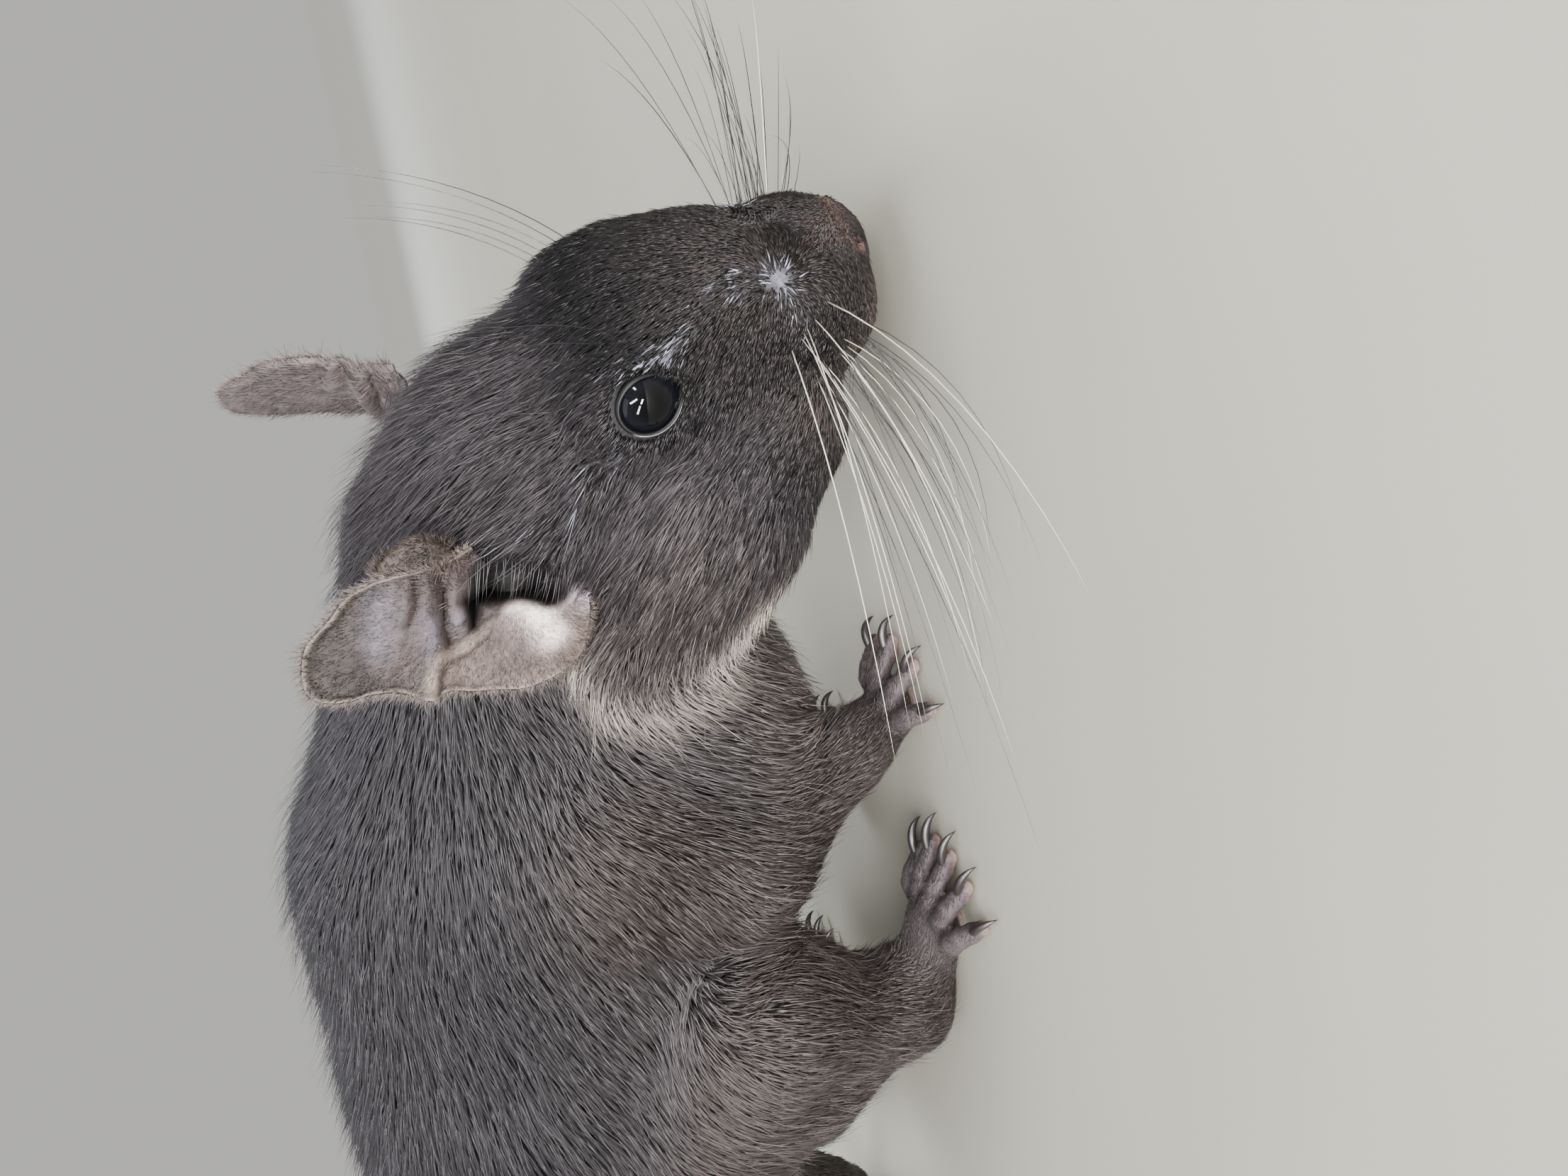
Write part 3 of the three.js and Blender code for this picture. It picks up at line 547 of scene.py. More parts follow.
# %% Melt the forms into one net
SKIN_NET = 0.8  # side of a face of the net, mm
clay = [ball_at(*form) for form in TRUNK_EGGS]
clay += [ball_at(*form, turned=True) for form in HEAD_EGGS + NOSE_EGGS]
for form in NECK_CONES + HEAD_CONES + LIMB_CONES + TAIL_CONES + TOE_CONES:
    clay += capsule_at(*form)
skin = joined(clay, "skin")
apply_modifier(skin, "REMESH", mode="VOXEL", voxel_size=SKIN_NET * MM, adaptivity=0)
apply_modifier(skin, "SMOOTH", factor=0.5, iterations=3)
print("the net has", len(skin.data.polygons), "faces")


# %% Draw the net onto the field
def settle(piece, rounds):
    points = corners_of(piece)
    for _ in range(rounds):
        depth = fur_at(points)[0]
        here, way = slope(body_field, points)
        steep = np.maximum((way * way).sum(axis=1), 0.2)
        step = (here + depth) / steep
        points -= np.clip(step, -1.5, 1.5)[:, None] * way
    keep_above(0, points)  # soles are flat on the floor
    move_corners(piece, points)


settle(skin, 5)
print("the lowest corner lies at", round(float(corners_of(skin)[:, 2].min()), 2), "mm")


# %% Make the net finer where the forms are fine
def refine(piece, near, cuts):
    """Subdivides the faces whose middles the test picks."""
    choose(piece)
    picked = near(read(piece.data.polygons, "center").astype(float) / MM - SHIFT)
    bpy.ops.object.mode_set(mode="EDIT")
    bpy.ops.mesh.select_mode(type="FACE")
    bpy.ops.mesh.select_all(action="DESELECT")
    bpy.ops.object.mode_set(mode="OBJECT")
    piece.data.polygons.foreach_set("select", picked)
    bpy.ops.object.mode_set(mode="EDIT")
    bpy.ops.mesh.subdivide(number_cuts=cuts, smoothness=0)
    bpy.ops.object.mode_set(mode="OBJECT")
    print("refined", int(picked.sum()), "faces")


def near_eyes(points):
    away = [np.linalg.norm(points - eye_centre(side), axis=1) for side in SIDES]
    return np.minimum(*away) < 6.6


JAW = cone(in_head(-1, 0, -19.5), in_head(14.5, 0, -17.6), 6.5, 4)


def near_mouth(points):
    h = to_head(points)
    mouth = (np.abs(JAW(points)) < 1.4) & (h[:, 0] > 0)
    return mouth | (np.linalg.norm(h - [22.5, 0, -9], axis=1) < 5.5)


def near_feet(points):
    return (points[:, 2] < 6.5) & (toe_field(points) < 3)


refine(skin, near_eyes, 2)
refine(skin, near_mouth, 1)
refine(skin, near_feet, 1)
settle(skin, 3)
print("the skin has", len(skin.data.vertices), "corners")

# %% [markdown]
# ## The face
#
# The eye of a degu is a black ball that stands out of the head, held by a ring of lid. The mouth is a line
# low under the muzzle, and two commas in the nose are its nostrils. All of these could be cut with Boolean
# tools, but a cut leaves hard edges. The net is fine here, so its corners are pressed in and drawn out.

# %% Sockets, mouth and nostrils
EYE_OPENING = 2.45
LID_HEIGHT = 2.98  # how far along the gaze the lid's crest lies


def eye_axes(side):
    """Unit vectors out of the eye, towards its front corner and upwards across that."""
    out = gaze(side)
    front = head_way(1, 0, -0.25)
    front = unit(front - (front @ out) * out)
    return out, front, unit(np.cross(front, out) * side)


def opening(angle):
    """Half width between the lids, by the angle from the front corner."""
    corner = np.maximum(np.cos(angle), 0) ** 8
    return EYE_OPENING * (1 + 0.05 * np.cos(2 * angle)) + 0.95 * corner


def shape_face(points):
    for side in SIDES:
        out, front, up = eye_axes(side)
        away = points - eye_centre(side)
        height = away @ out
        flat = away - height[:, None] * out
        wide = np.linalg.norm(flat, axis=1)
        angle = np.arctan2(flat @ up, flat @ front)
        edge = opening(angle)
        mine = (np.linalg.norm(away, axis=1) < 9) & (height > -0.5)
        hold = 1 - smooth(wide, edge + 0.4, edge + 3.2)
        lid = height + (LID_HEIGHT - 0.25 - height) * hold
        under = np.sqrt(np.maximum((EYE_RADIUS - 0.35) ** 2 - wide**2, 0))
        wanted = np.where(wide < edge, np.minimum(under, lid), lid)
        move = np.where(mine, wanted - height, 0)
        points = points + move[:, None] * out
    h = to_head(points)
    way = unit(slope(body_field, points)[1])
    line = JAW(points)
    mouth = np.exp(-(line / 0.42) ** 2) * smooth(h[:, 0], 1, 5) * (h[:, 0] < 23)
    lips = np.exp(-((np.abs(line) - 1.0) / 0.5) ** 2) * smooth(h[:, 0], 1, 5)
    points = points + (0.25 * lips - 1.0 * mouth)[:, None] * way
    for side in SIDES:
        hole = cone(in_head(22.4, side * 1.7, -8.1), in_head(25.6, side * 3.4, -7.4), 0.35, 0.75)
        pit = np.exp(-(np.maximum(hole(points), 0) / 0.28) ** 2)
        points = points - (1.5 * pit)[:, None] * way
    cleft = np.exp(-(h[:, 1] / 0.3) ** 2) * smooth(h[:, 0], 20.5, 22) * (1 - smooth(h[:, 2], -10, -9))
    return points - (0.5 * cleft)[:, None] * way


# %% The pits of the ears
CANAL = np.array([-17.7, 13.6, -0.4])
EAR_AXES = {  # along the ear, across it, and out of its dish, in the head's axes
    RIGHT: np.array([(-0.56, 0.14, 0.82), (-0.71, 0.43, -0.56), (0.62, 0.71, 0.74)]),
    LEFT: np.array([(-0.84, 0.41, 0.79), (-0.59, 0.33, -0.8), (0.46, 0.89, 0.03)]),
}
CANAL_CONES = [  # the dark opening as it lies in the ear: ends along and across, and half widths
    ((3.4, 3), (3.3, 0.4), 0.4, 1.1), ((3.3, 0.4), (1.2, -0.9), 1.1, 2.3),
    ((1.2, -0.9), (-1.4, -0.5), 2.3, 2.3), ((-1.4, -0.5), (-3.9, 1.2), 2.3, 1.7),
]
CANAL_DEPTH = 4.5


def ear_axes(side):
    return EAR_AXES[side] * [1, side, 1]


def in_ear(points):
    """Along, across and out of the ear that is on the same side as each place."""
    h = to_head(points)
    places, out_ways = np.empty_like(h), np.empty_like(h)
    for side in SIDES:
        axes = ear_axes(side)
        mine = h[:, 1] * side >= 0
        places[mine] = (h[mine] - CANAL * [1, side, 1]) @ np.linalg.inv(axes)
        out_ways[mine] = head_way(*axes[2])
    return places, out_ways


def canal_away(flat):
    return np.min([cone(*form)(flat) for form in CANAL_CONES], axis=0)


def shape_ear_pit(points):
    """The skin sinks in at the opening of each ear."""
    places, out_ways = in_ear(points)
    deep = (1 - smooth(canal_away(places[:, :2]), -1.4, 0.7)) * (np.abs(places[:, 2]) < 7)
    return points - (CANAL_DEPTH * deep)[:, None] * out_ways


move_corners(skin, shape_ear_pit(shape_face(corners_of(skin))))
choose(skin)
bpy.ops.object.shade_smooth()

# %% An unwrap of the skin
bpy.ops.object.mode_set(mode="EDIT")
bpy.ops.mesh.select_all(action="SELECT")
bpy.ops.uv.smart_project(angle_limit=math.radians(70), island_margin=0.002)
bpy.ops.object.mode_set(mode="OBJECT")
skin.data.uv_layers[0].name = "SkinMap"
print("the skin is unwrapped")

# %% [markdown]
# ## Colours
#
# A young dark degu looks black-brown at first sight, but its back shines blue-grey, its cheeks and legs are
# browner, its muzzle is almost black, and short pale hair marks the corner of the eye, the parting before
# the ear and a whorl on the muzzle. Skin and coat take their colour from one function, so they can't differ.
# It could be a picture, but a function of the place is sharp at any size and is easy to change.

# %% The markings
def linear(hex_colour):
    """A web colour as linear red, green and blue."""
    srgb = np.array([int(hex_colour[i:i + 2], 16) / 255 for i in (1, 3, 5)])
    return np.where(srgb <= 0.04045, srgb / 12.92, ((srgb + 0.055) / 1.055) ** 2.4)


def soft_line(points, spots, most, half_width):
    """A value that is highest on a line through the spots, or at a lone spot, and fades beside it."""
    if len(spots) == 1:
        away = np.linalg.norm(points - spots[0], axis=1)
    else:
        away = np.min([cone(a, b, 0, 0)(points) for a, b in zip(spots, spots[1:])], axis=0)
    return most * np.exp(-(away / half_width) ** 2)


# %% The pale marks and the colours of the coat
RUFF_EDGE = [
    (-18.8, 17.8, -9.4), (-20, 20, -12), (-19.3, 21.9, -14.5), (-17.2, 22.2, -16.5), (-15, 22, -18.6),
    (-12, 20.6, -20.8), (-8.5, 18.7, -22.3), (-3.4, 17, -22.4),
]
EYE_CORNER = (7.6, 8.9, 2.8)
PALE_MARKS = [  # the spots of a mark, the share of pale hairs on it and its half width
    ([(3.9, 9.1, 5.4), (4.8, 9.1, 4.7), (6.8, 9, 3.5), EYE_CORNER, (9.4, 8.1, 2.5), (10.2, 7.6, 2.2)],
     0.55, 0.7),  # in front of the eye
    ([EYE_CORNER, (7.3, 9.5, 1.9), (6.8, 10.1, 1.1)], 0.6, 0.6),
    ([(-11.1, 12.2, 1.7), (-9.7, 12.1, 1.3), (-8.2, 11.7, 0.8), (-6.7, 11.6, 0.4), (-5.5, 11.4, 0.2)],
     0.9, 0.9),  # before the ear
    ([(-2.1, 11.4, -0.8)], 0.35, 1.1),  # behind the eye
    ([WHORL], 0.45, 1.0),
    ([(13.9, 5.2, 1.4), (15.6, 4.4, 0), (17, 5.2, -2.3), (16.9, 6.2, -3.3), (16.5, 7.6, -4.6)], 0.12, 0.9),
    ([(14.6, 5.8, 0.2)], 0.3, 0.9),  # on top of the muzzle
]

COAT = {  # colours of the hair
    "back": "#2f2d31", "flank": "#4f4b4d", "belly": "#68605d", "head": "#373336", "crown": "#343033",
    "bridge": "#080607", "cheek": "#524c4c", "muzzle": "#262222", "ruff": "#d8cdc4", "streak": "#a2a4b6",
    "limb": "#4b4443", "foot": "#3a3435", "tail": "#312c2b", "brush": "#1a1716", "lip": "#544b48",
}


# %% Mix the colours of the coat
def mix(colours, hex_colour, share):
    return colours + share[:, None] * (linear(hex_colour) - colours)


def plain(hex_colour, count):
    """One colour for a number of places."""
    return np.tile(linear(hex_colour), (count, 1))


def layered(palette, colours, layers):
    """Colours under further ones of a palette, each with its share at each place."""
    for name, share in layers:
        colours = mix(colours, palette[name], share)
    return colours


def pale_marks(points):
    """How many of the hairs at each place are pale: streaks by the eye and the ear, the parting's centre."""
    return np.clip(sum(soft_line(mirrored(points), *mark) for mark in PALE_MARKS), 0, 1)


RUFF_HALF_WIDTH, LEFT_RUFF = 1.9, 0.3  # the left cheek is pressed to the neck


def ruff_share(points):
    near = soft_line(mirrored(points), RUFF_EDGE, 1, RUFF_HALF_WIDTH)
    return near * np.where(to_head(points)[:, 1] < 0, 1.0, LEFT_RUFF)


def coat_colour(points, share, pale):
    """The colour of the coat at each place; share is how near it is to each form."""
    h = mirrored(points)
    low = 1 - smooth(points[:, 2], 20, 52)
    under = 1 - smooth(points[:, 2], 12, 26)
    trunk = share[TRUNK_ZONES].sum(axis=0)
    head = share[HEAD_ZONE] + share[NOSE_ZONE]
    brush = smooth(tail_share(points), 1 - TAIL_BRUSH / TAIL_LENGTH - 0.08, 0.86)
    return layered(COAT, plain(COAT["back"], len(points)), [
        ("flank", low * trunk),
        ("belly", under * trunk),
        ("limb", share[LIMB_ZONES].sum(axis=0) * 0.85),
        ("head", head),
        ("crown", head * smooth(h[:, 2], 0, 6)),
        ("cheek", head * (1 - smooth(h[:, 2], -12, -3)) * smooth(-h[:, 0], -6, 6)),
        ("bridge", head * smooth(h[:, 2], -4, 0.5) * smooth(h[:, 0], -4, 6)),
        ("muzzle", head * smooth(h[:, 0], 3, 14)),
        ("lip", 0.7 * head * smooth(h[:, 0], 9, 16) * (1 - smooth(h[:, 2], -12, -8))),
        ("ruff", 0.95 * ruff_share(points)),
        ("foot", share[TOE_ZONE] + 0.7 * share[HAND_ZONES + FOOT_ZONES].sum(axis=0)),
        ("tail", share[TAIL_ZONE]),
        ("brush", share[TAIL_ZONE] * brush),
        ("streak", pale),
    ])


def tail_share(points):
    """How far along the tail each place is."""
    nearest = np.argmin(((points[:, None, :] - tail_places[None]) ** 2).sum(axis=2), axis=1)
    return tail_shares[nearest]


# %% Store colours on a piece
def paint(piece, name, colours):
    """Stores one colour for each corner of a piece."""
    layer = piece.data.color_attributes.new(name, "FLOAT_COLOR", "POINT")
    rgba = np.ones((len(colours), 4), np.float32)
    rgba[:, :3] = colours
    layer.data.foreach_set("color", rgba.ravel())


def store(piece, name, values):
    layer = piece.data.attributes.new(name, "FLOAT", "POINT")
    layer.data.foreach_set("value", np.asarray(values, np.float32))


# %% Paint the skin
SKIN = {"nose": "#7c5f58", "foot": "#51474a", "pad": "#a58a85", "pit": "#0c0908", "mouth": "#2a1d1b",
        "star": "#7f8190", "lid": "#0f0d0e"}
DOWN_SHARE = 0.55  # how dark the down is beside the coat
skin_points = corners_of(skin)
_, skin_length, skin_width, _, skin_share = fur_at(skin_points)
feet = skin_share[TOE_ZONE] + 0.6 * skin_share[FOOT_ZONES].sum(axis=0)
feet = np.clip(feet + 0.8 * skin_share[HAND_ZONES].sum(axis=0), 0, 1)
h = mirrored(skin_points)
ear_spots = in_ear(skin_points)[0]
in_canal = (canal_away(ear_spots[:, :2] + [0, 0.7]) < 1.2) & (np.abs(ear_spots[:, 2]) < 9)


def rim_share(side):
    """How near each corner of the skin is to the edge of a lid."""
    away = np.linalg.norm(skin_points - eye_centre(side) - LID_HEIGHT * gaze(side), axis=1) - EYE_OPENING
    return 1 - smooth(away, 0.7, 1.3)


down = coat_colour(skin_points, skin_share, pale_marks(skin_points)) * DOWN_SHARE
paint(skin, "tone", layered(SKIN, down, [
    ("foot", feet),
    ("pad", smooth(-skin_points[:, 2], -1.6, -0.2) * feet),
    ("nose", skin_share[NOSE_ZONE]),
    ("mouth", np.exp(-(JAW(skin_points) / 0.4) ** 2) * smooth(h[:, 0], 1, 5)),
    # the ear's opening painted near black: painted shade in the recess
    ("pit", in_canal.astype(float)),
    ("lid", rim_share(RIGHT)),
    ("lid", rim_share(LEFT)),
    ("star", soft_line(h, [WHORL], 0.8, 0.8)),
]))


# %% [markdown]
# ## Materials
#
# Hair is keratin: dark, with a clean gloss on each shaft. Skin is softer and shines less. One small
# function adds a node with its settings and links, and each material is built from it in a few lines. The
# shader is there from the start, so only its inputs are filled.

# %% A node helper
def fill(made, inputs):
    """Links sockets into a node's inputs, and sets the plain ones."""
    for key, value in inputs.items():
        if isinstance(value, bpy.types.NodeSocket):
            made.id_data.links.new(value, made.inputs[key])
        else:
            made.inputs[key].default_value = value


def node(tree, kind, inputs, **settings):
    """Adds a node, sets its fields and fills its inputs."""
    made = tree.nodes.new(kind)
    for name, value in settings.items():
        setattr(made, name, value)
    fill(made, inputs)
    return made


def rgba(hex_colour):
    return (*linear(hex_colour), 1)


def new_material(name):
    material = bpy.data.materials.new(name)
    material.use_nodes = True
    tree = material.node_tree
    return material, tree, tree.nodes["Principled BSDF"]


def wear(piece, material):
    piece.data.materials.clear()
    piece.data.materials.append(material)


# %% Downy skin
def make_skin():
    """Skin with a fine dark down. The grain is 0.35 mm, as the pores between hairs are."""
    material, tree, shader = new_material("downy_skin")
    place = node(tree, "ShaderNodeTexCoord", {}).outputs["Object"]
    tone = node(tree, "ShaderNodeAttribute", {}, attribute_name="tone").outputs["Color"]
    grain = node(tree, "ShaderNodeTexNoise", {"Vector": place, "Scale": 1 / (0.35 * MM), "Detail": 3.0})
    ramp = node(tree, "ShaderNodeMapRange", {"Value": grain.outputs["Fac"], "From Min": 0.3, "From Max": 0.7,
                                             "To Min": 0.65, "To Max": 1.25})
    shaded = node(tree, "ShaderNodeVectorMath", {0: tone, "Scale": ramp.outputs["Result"]}, operation="SCALE")
    bump = node(tree, "ShaderNodeBump", {"Height": grain.outputs["Fac"], "Strength": 0.5,
                                         "Distance": 0.12 * MM})
    fill(shader, {"Base Color": shaded.outputs["Vector"], "Normal": bump.outputs["Normal"], "Roughness": 0.62,
                  "Specular IOR Level": 0.2})
    return material


DOWNY_SKIN = make_skin()
wear(skin, DOWNY_SKIN)
FLESH = [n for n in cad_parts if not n.startswith(("eye_", "ear_"))]
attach(skin, "root")
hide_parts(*FLESH)
print("the skin replaces", len(FLESH), "nodes")

# %% [markdown]
# ## The camera
#
# The picture was taken from the animal's right and a little above, with the camera turned on its side, so
# the animal's back is to the left of the frame. The camera stands at a named angle and distance from a
# point between the hands, and its three axes are worked out from these.

# %% Set the camera
CAMERA_AZIMUTH, CAMERA_ELEVATION, CAMERA_ROLL = 30, 16, -13  # degrees
CAMERA_DISTANCE = 128.5
CAMERA_TARGET = np.array([20.2, 0, 10.5])
FOCAL_LENGTH_PIXELS, FRAME_WIDTH_PIXELS = 1660, 2212
az, el, roll = (math.radians(a) for a in (CAMERA_AZIMUTH, CAMERA_ELEVATION, CAMERA_ROLL))
level = np.array([math.cos(az), math.sin(az), 0])
back = np.array([math.cos(el) * math.sin(az), -math.cos(el) * math.cos(az), math.sin(el)])
above = np.cross(back, level)
turned_level = math.cos(roll) * level + math.sin(roll) * above
turned_above = -math.sin(roll) * level + math.cos(roll) * above
CAMERA_PLACE = CAMERA_TARGET + back * CAMERA_DISTANCE
camera_data = bpy.data.cameras.new("camera")
camera_data.lens = camera_data.sensor_width * FOCAL_LENGTH_PIXELS / FRAME_WIDTH_PIXELS
camera_data.clip_start = 0.005
camera = bpy.data.objects.new("camera", camera_data)
bpy.context.collection.objects.link(camera)
camera_axes = np.eye(4)
camera_axes[:3, 0] = -turned_above
camera_axes[:3, 1] = turned_level
camera_axes[:3, 2] = back
camera_axes[:3, 3] = to_frame(CAMERA_PLACE)
camera.matrix_world = Matrix(camera_axes)
bpy.context.scene.camera = camera
print("the camera stands at", np.round(CAMERA_PLACE, 1), "mm")

# %% [markdown]
# ## Floor and light
#
# A pale floor and soft light show shape and colour without a story. The floor grows as pale as the room's
# air far away, so the horizon hardly shows. One large soft light hangs over the back, as a bright ceiling
# does, two fill from the camera's side and one from the far side, and slim tubes give the eye its small
# bright lines. Bare lamps would be simpler, but they would leave hard shadows.

# %% The floor
bpy.ops.object.select_all(action="DESELECT")
FLOOR_RADIUS = 25  # metres, so that its edge lies on the horizon
bpy.ops.mesh.primitive_circle_add(vertices=128, radius=FLOOR_RADIUS, fill_type="NGON", location=(0, 0, 0))
floor = named("floor")


def make_floor_paint():
    """Matt painted board, with a faint unevenness 40 mm wide from the roller, paler far from the animal."""
    material, tree, shader = new_material("matt_board_paint")
    place = node(tree, "ShaderNodeTexCoord", {}).outputs["Object"]
    cloud = node(tree, "ShaderNodeTexNoise", {"Vector": place, "Scale": 1 / 0.04, "Detail": 2.0})
    near = node(tree, "ShaderNodeMix", {"Factor": cloud.outputs["Fac"], "A": rgba("#b3b1a4"),
                                        "B": rgba("#bbb9ac")}, data_type="RGBA")
    away = node(tree, "ShaderNodeVectorMath", {0: place}, operation="LENGTH")
    far = node(tree, "ShaderNodeMapRange", {"Value": away.outputs["Value"], "From Min": 0.2, "From Max": 1.6},
               interpolation_type="SMOOTHSTEP")
    tone = node(tree, "ShaderNodeMix", {"Factor": far.outputs["Result"], "A": near.outputs["Result"],
                                        "B": rgba("#fcfcfa")}, data_type="RGBA")
    fill(shader, {"Base Color": tone.outputs["Result"], "Roughness": 0.8, "Specular IOR Level": 0.2})
    return material


wear(floor, make_floor_paint())


# %% The lights
def soft_light(name, place, towards, size, power, colour="#ffffff"):
    data = bpy.data.lights.new(name, "AREA")
    data.shape = "RECTANGLE"
    data.size, data.size_y = (length * MM for length in size)
    data.energy = power
    data.color = linear(colour)
    lamp = bpy.data.objects.new(name, data)
    bpy.context.collection.objects.link(lamp)
    lamp.location = to_frame(place)
    way = Vector(np.array(towards, float) - np.array(place, float))
    lamp.rotation_euler = way.to_track_quat("-Z", "Y").to_euler()
    return lamp


soft_light("ceiling", (-20, -60, 420), (0, 0, 30), (420, 420), 1.5, "#f0f4ff")
soft_light("window", (170, -380, 150), (10, -5, 25), (300, 260), 2.8, "#fffcf9").visible_glossy = False
soft_light("low_fill", (60, -300, 40), (-10, -5, 20), (340, 90), 1.8, "#fffaf6").visible_glossy = False
soft_light("far_fill", (-300, 800, 760), (-20, 10, 25), (420, 420), 9.0, "#f6f8ff").visible_glossy = False
world = bpy.data.worlds.new("room")
world.use_nodes = True
fill(world.node_tree.nodes["Background"], {"Color": rgba("#eeede8"), "Strength": 0.65})
bpy.context.scene.world = world

# %% Slim tubes for the eye
# Each tube stands where the right eye mirrors it to the camera. Its ends are given on the eye, in millimetres
# right of and above the eye's centre as the camera sees it.
TUBES = {"tube_high": ((-1.38, 1.26), (-0.5, 0.65)), "tube_middle": ((-1.11, -0.71), (-0.42, -0.23)),
         "tube_low": ((-0.37, -1.76), (-0.06, -0.95)), "tube_short": ((0.05, -0.76), (0.19, -0.3))}
TUBE_DISTANCE, TUBE_WIDTH, TUBE_POWER = 420, 34, 4.0


def mirrored_place(right_of, above_it):
    """Where a ray from the camera goes after it meets the eye there."""
    eye = eye_centre(RIGHT)
    back_way = unit(CAMERA_PLACE - eye)
    off = -right_of * turned_above + above_it * turned_level
    off = off - (off @ back_way) * back_way
    normal = unit(off + math.sqrt(EYE_RADIUS**2 - off @ off) * back_way)
    on_eye = eye + EYE_RADIUS * normal
    to_camera = unit(CAMERA_PLACE - on_eye)
    return on_eye + (2 * (normal @ to_camera) * normal - to_camera) * TUBE_DISTANCE


for name, ends in TUBES.items():
    first, last = (mirrored_place(*end) for end in ends)
    tube = soft_light(name, (first + last) / 2, eye_centre(RIGHT), (np.linalg.norm(last - first), TUBE_WIDTH),
                      TUBE_POWER)
    outward = unit((first + last) / 2 - eye_centre(RIGHT))
    lengthwise = unit(last - first)
    lengthwise = unit(lengthwise - (lengthwise @ outward) * outward)
    axes = np.stack([lengthwise, np.cross(outward, lengthwise), outward], axis=1)
    tube.rotation_euler = Matrix(axes).to_euler()
    tube.visible_diffuse = False
    print(name, "is", round(float(np.linalg.norm(last - first))), "mm long")

# %% [markdown]
# ## The eyes
#
# The eyeball is nearly all pupil to the eye of a passer-by: a black-brown iris behind a wet, clear cornea.
# It could be one glossy ball, and nearly is: the ball is drawn out a little where the cornea bulges. The
# lid is a ring of its own around it, because it carries a painted highlight on its thin wet edge that the
# furred skin can't show.

# %% Eyeballs
CORNEA_BULGE = 0.18


def eyeball(side):
    out = gaze(side)
    bpy.ops.object.select_all(action="DESELECT")
    bpy.ops.mesh.primitive_uv_sphere_add(
        segments=64, ring_count=40, radius=EYE_RADIUS * MM, location=to_frame(eye_centre(side)),
        rotation=Vector(out).to_track_quat("Z", "Y").to_euler())
    ball = named("eyeball_" + SIDES[side])
    bpy.ops.object.transform_apply(location=True, rotation=True, scale=True)
    away = corners_of(ball) - eye_centre(side)
    bulge = CORNEA_BULGE * smooth(away @ out / EYE_RADIUS, 0.78, 1.0)
    move_corners(ball, eye_centre(side) + away + bulge[:, None] * out)
    store(ball, "rim", 1 - away @ out / EYE_RADIUS)
    bpy.ops.object.shade_smooth()
    return ball


# %% Cornea
def make_eye():
    """A wet cornea over a black-brown iris: almost black, with a hard gloss."""
    material, tree, shader = new_material("wet_cornea")
    rim = node(tree, "ShaderNodeAttribute", {}, attribute_name="rim").outputs["Fac"]
    iris = node(tree, "ShaderNodeMapRange", {"Value": rim, "From Min": 0.03, "From Max": 0.11})
    colour = node(tree, "ShaderNodeMix", {"Factor": iris.outputs["Result"], "A": rgba("#050507"),
                                          "B": rgba("#0d0e13")}, data_type="RGBA")
    fill(shader, {"Base Color": colour.outputs["Result"], "Roughness": 0.04, "IOR": 1.38,
                  "Specular IOR Level": 0.3})
    return material


WET_CORNEA = make_eye()
for side, word in SIDES.items():
    ball = eyeball(side)
    wear(ball, WET_CORNEA)
    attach(ball, "root")
    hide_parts("eye_" + word)


# %% Lids
LID_RADIUS = 0.22
RING_TUBE = 0.25  # the tube's radius on the ring that a lid is bent from, whose own is 1


def eyelid(side):
    out, front, up = eye_axes(side)
    bpy.ops.object.select_all(action="DESELECT")
    bpy.ops.mesh.primitive_torus_add(
        major_segments=128, minor_segments=20, major_radius=1, minor_radius=RING_TUBE, location=(0, 0, 0))
    ring = named("eyelid_" + SIDES[side])
    x, y, z = raw_corners(ring).T
    angle = np.arctan2(y, x)
    across, over = (np.hypot(x, y) - 1) / RING_TUBE, z / RING_TUBE  # from -1 to 1 round the tube
    wide = opening(angle) + LID_RADIUS * 0.9
    wide = wide + across * LID_RADIUS
    rest = np.sqrt(np.maximum(EYE_RADIUS**2 - np.minimum(opening(angle), 3.7) ** 2, 0))
    height = rest + 0.16 + over * LID_RADIUS * 1.1 - 0.15 * np.maximum(across, 0)
    points = (eye_centre(side) + height[:, None] * out + (wide * np.cos(angle))[:, None] * front
              + (wide * np.sin(angle))[:, None] * up)
    move_corners(ring, points)
    # A pale line on the outer, lower edge: a painted highlight of the wet lid.
    outer = smooth(across, 0.15, 0.45) * smooth(over, -0.5, 0)
    lower = smooth(-np.sin(angle - 0.3), 0.1, 0.5)
    store(ring, "wet_edge_highlight", outer * lower)
    turn_outwards(ring)
    bpy.ops.object.shade_smooth()
    return ring


# %% Lid skin
def make_lid():
    """Bare lid skin: soot-dark, with a painted highlight, a pale line, along the lower lid's wet outer edge.
    Its grain is 0.15 mm.
    """
    material, tree, shader = new_material("bare_lid_skin")
    place = node(tree, "ShaderNodeTexCoord", {}).outputs["Object"]
    wet_edge_highlight = node(tree, "ShaderNodeAttribute", {}, attribute_name="wet_edge_highlight").outputs["Fac"]
    grain = node(tree, "ShaderNodeTexNoise", {"Vector": place, "Scale": 1 / (0.15 * MM), "Detail": 2.0})
    colour = node(tree, "ShaderNodeMix", {"Factor": wet_edge_highlight, "A": rgba("#0b0a0b"), "B": rgba("#dfe2ea")},
                  data_type="RGBA")
    bump = node(tree, "ShaderNodeBump", {"Height": grain.outputs["Fac"], "Strength": 0.4,
                                         "Distance": 0.05 * MM})
    fill(shader, {"Base Color": colour.outputs["Result"], "Normal": bump.outputs["Normal"], "Roughness": 0.5,
                  "Specular IOR Level": 0.2})
    return material


LID_SKIN = make_lid()
for side in SIDES:
    ring = eyelid(side)
    wear(ring, LID_SKIN)
    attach(ring, "root")
print("eyes and lids are in")

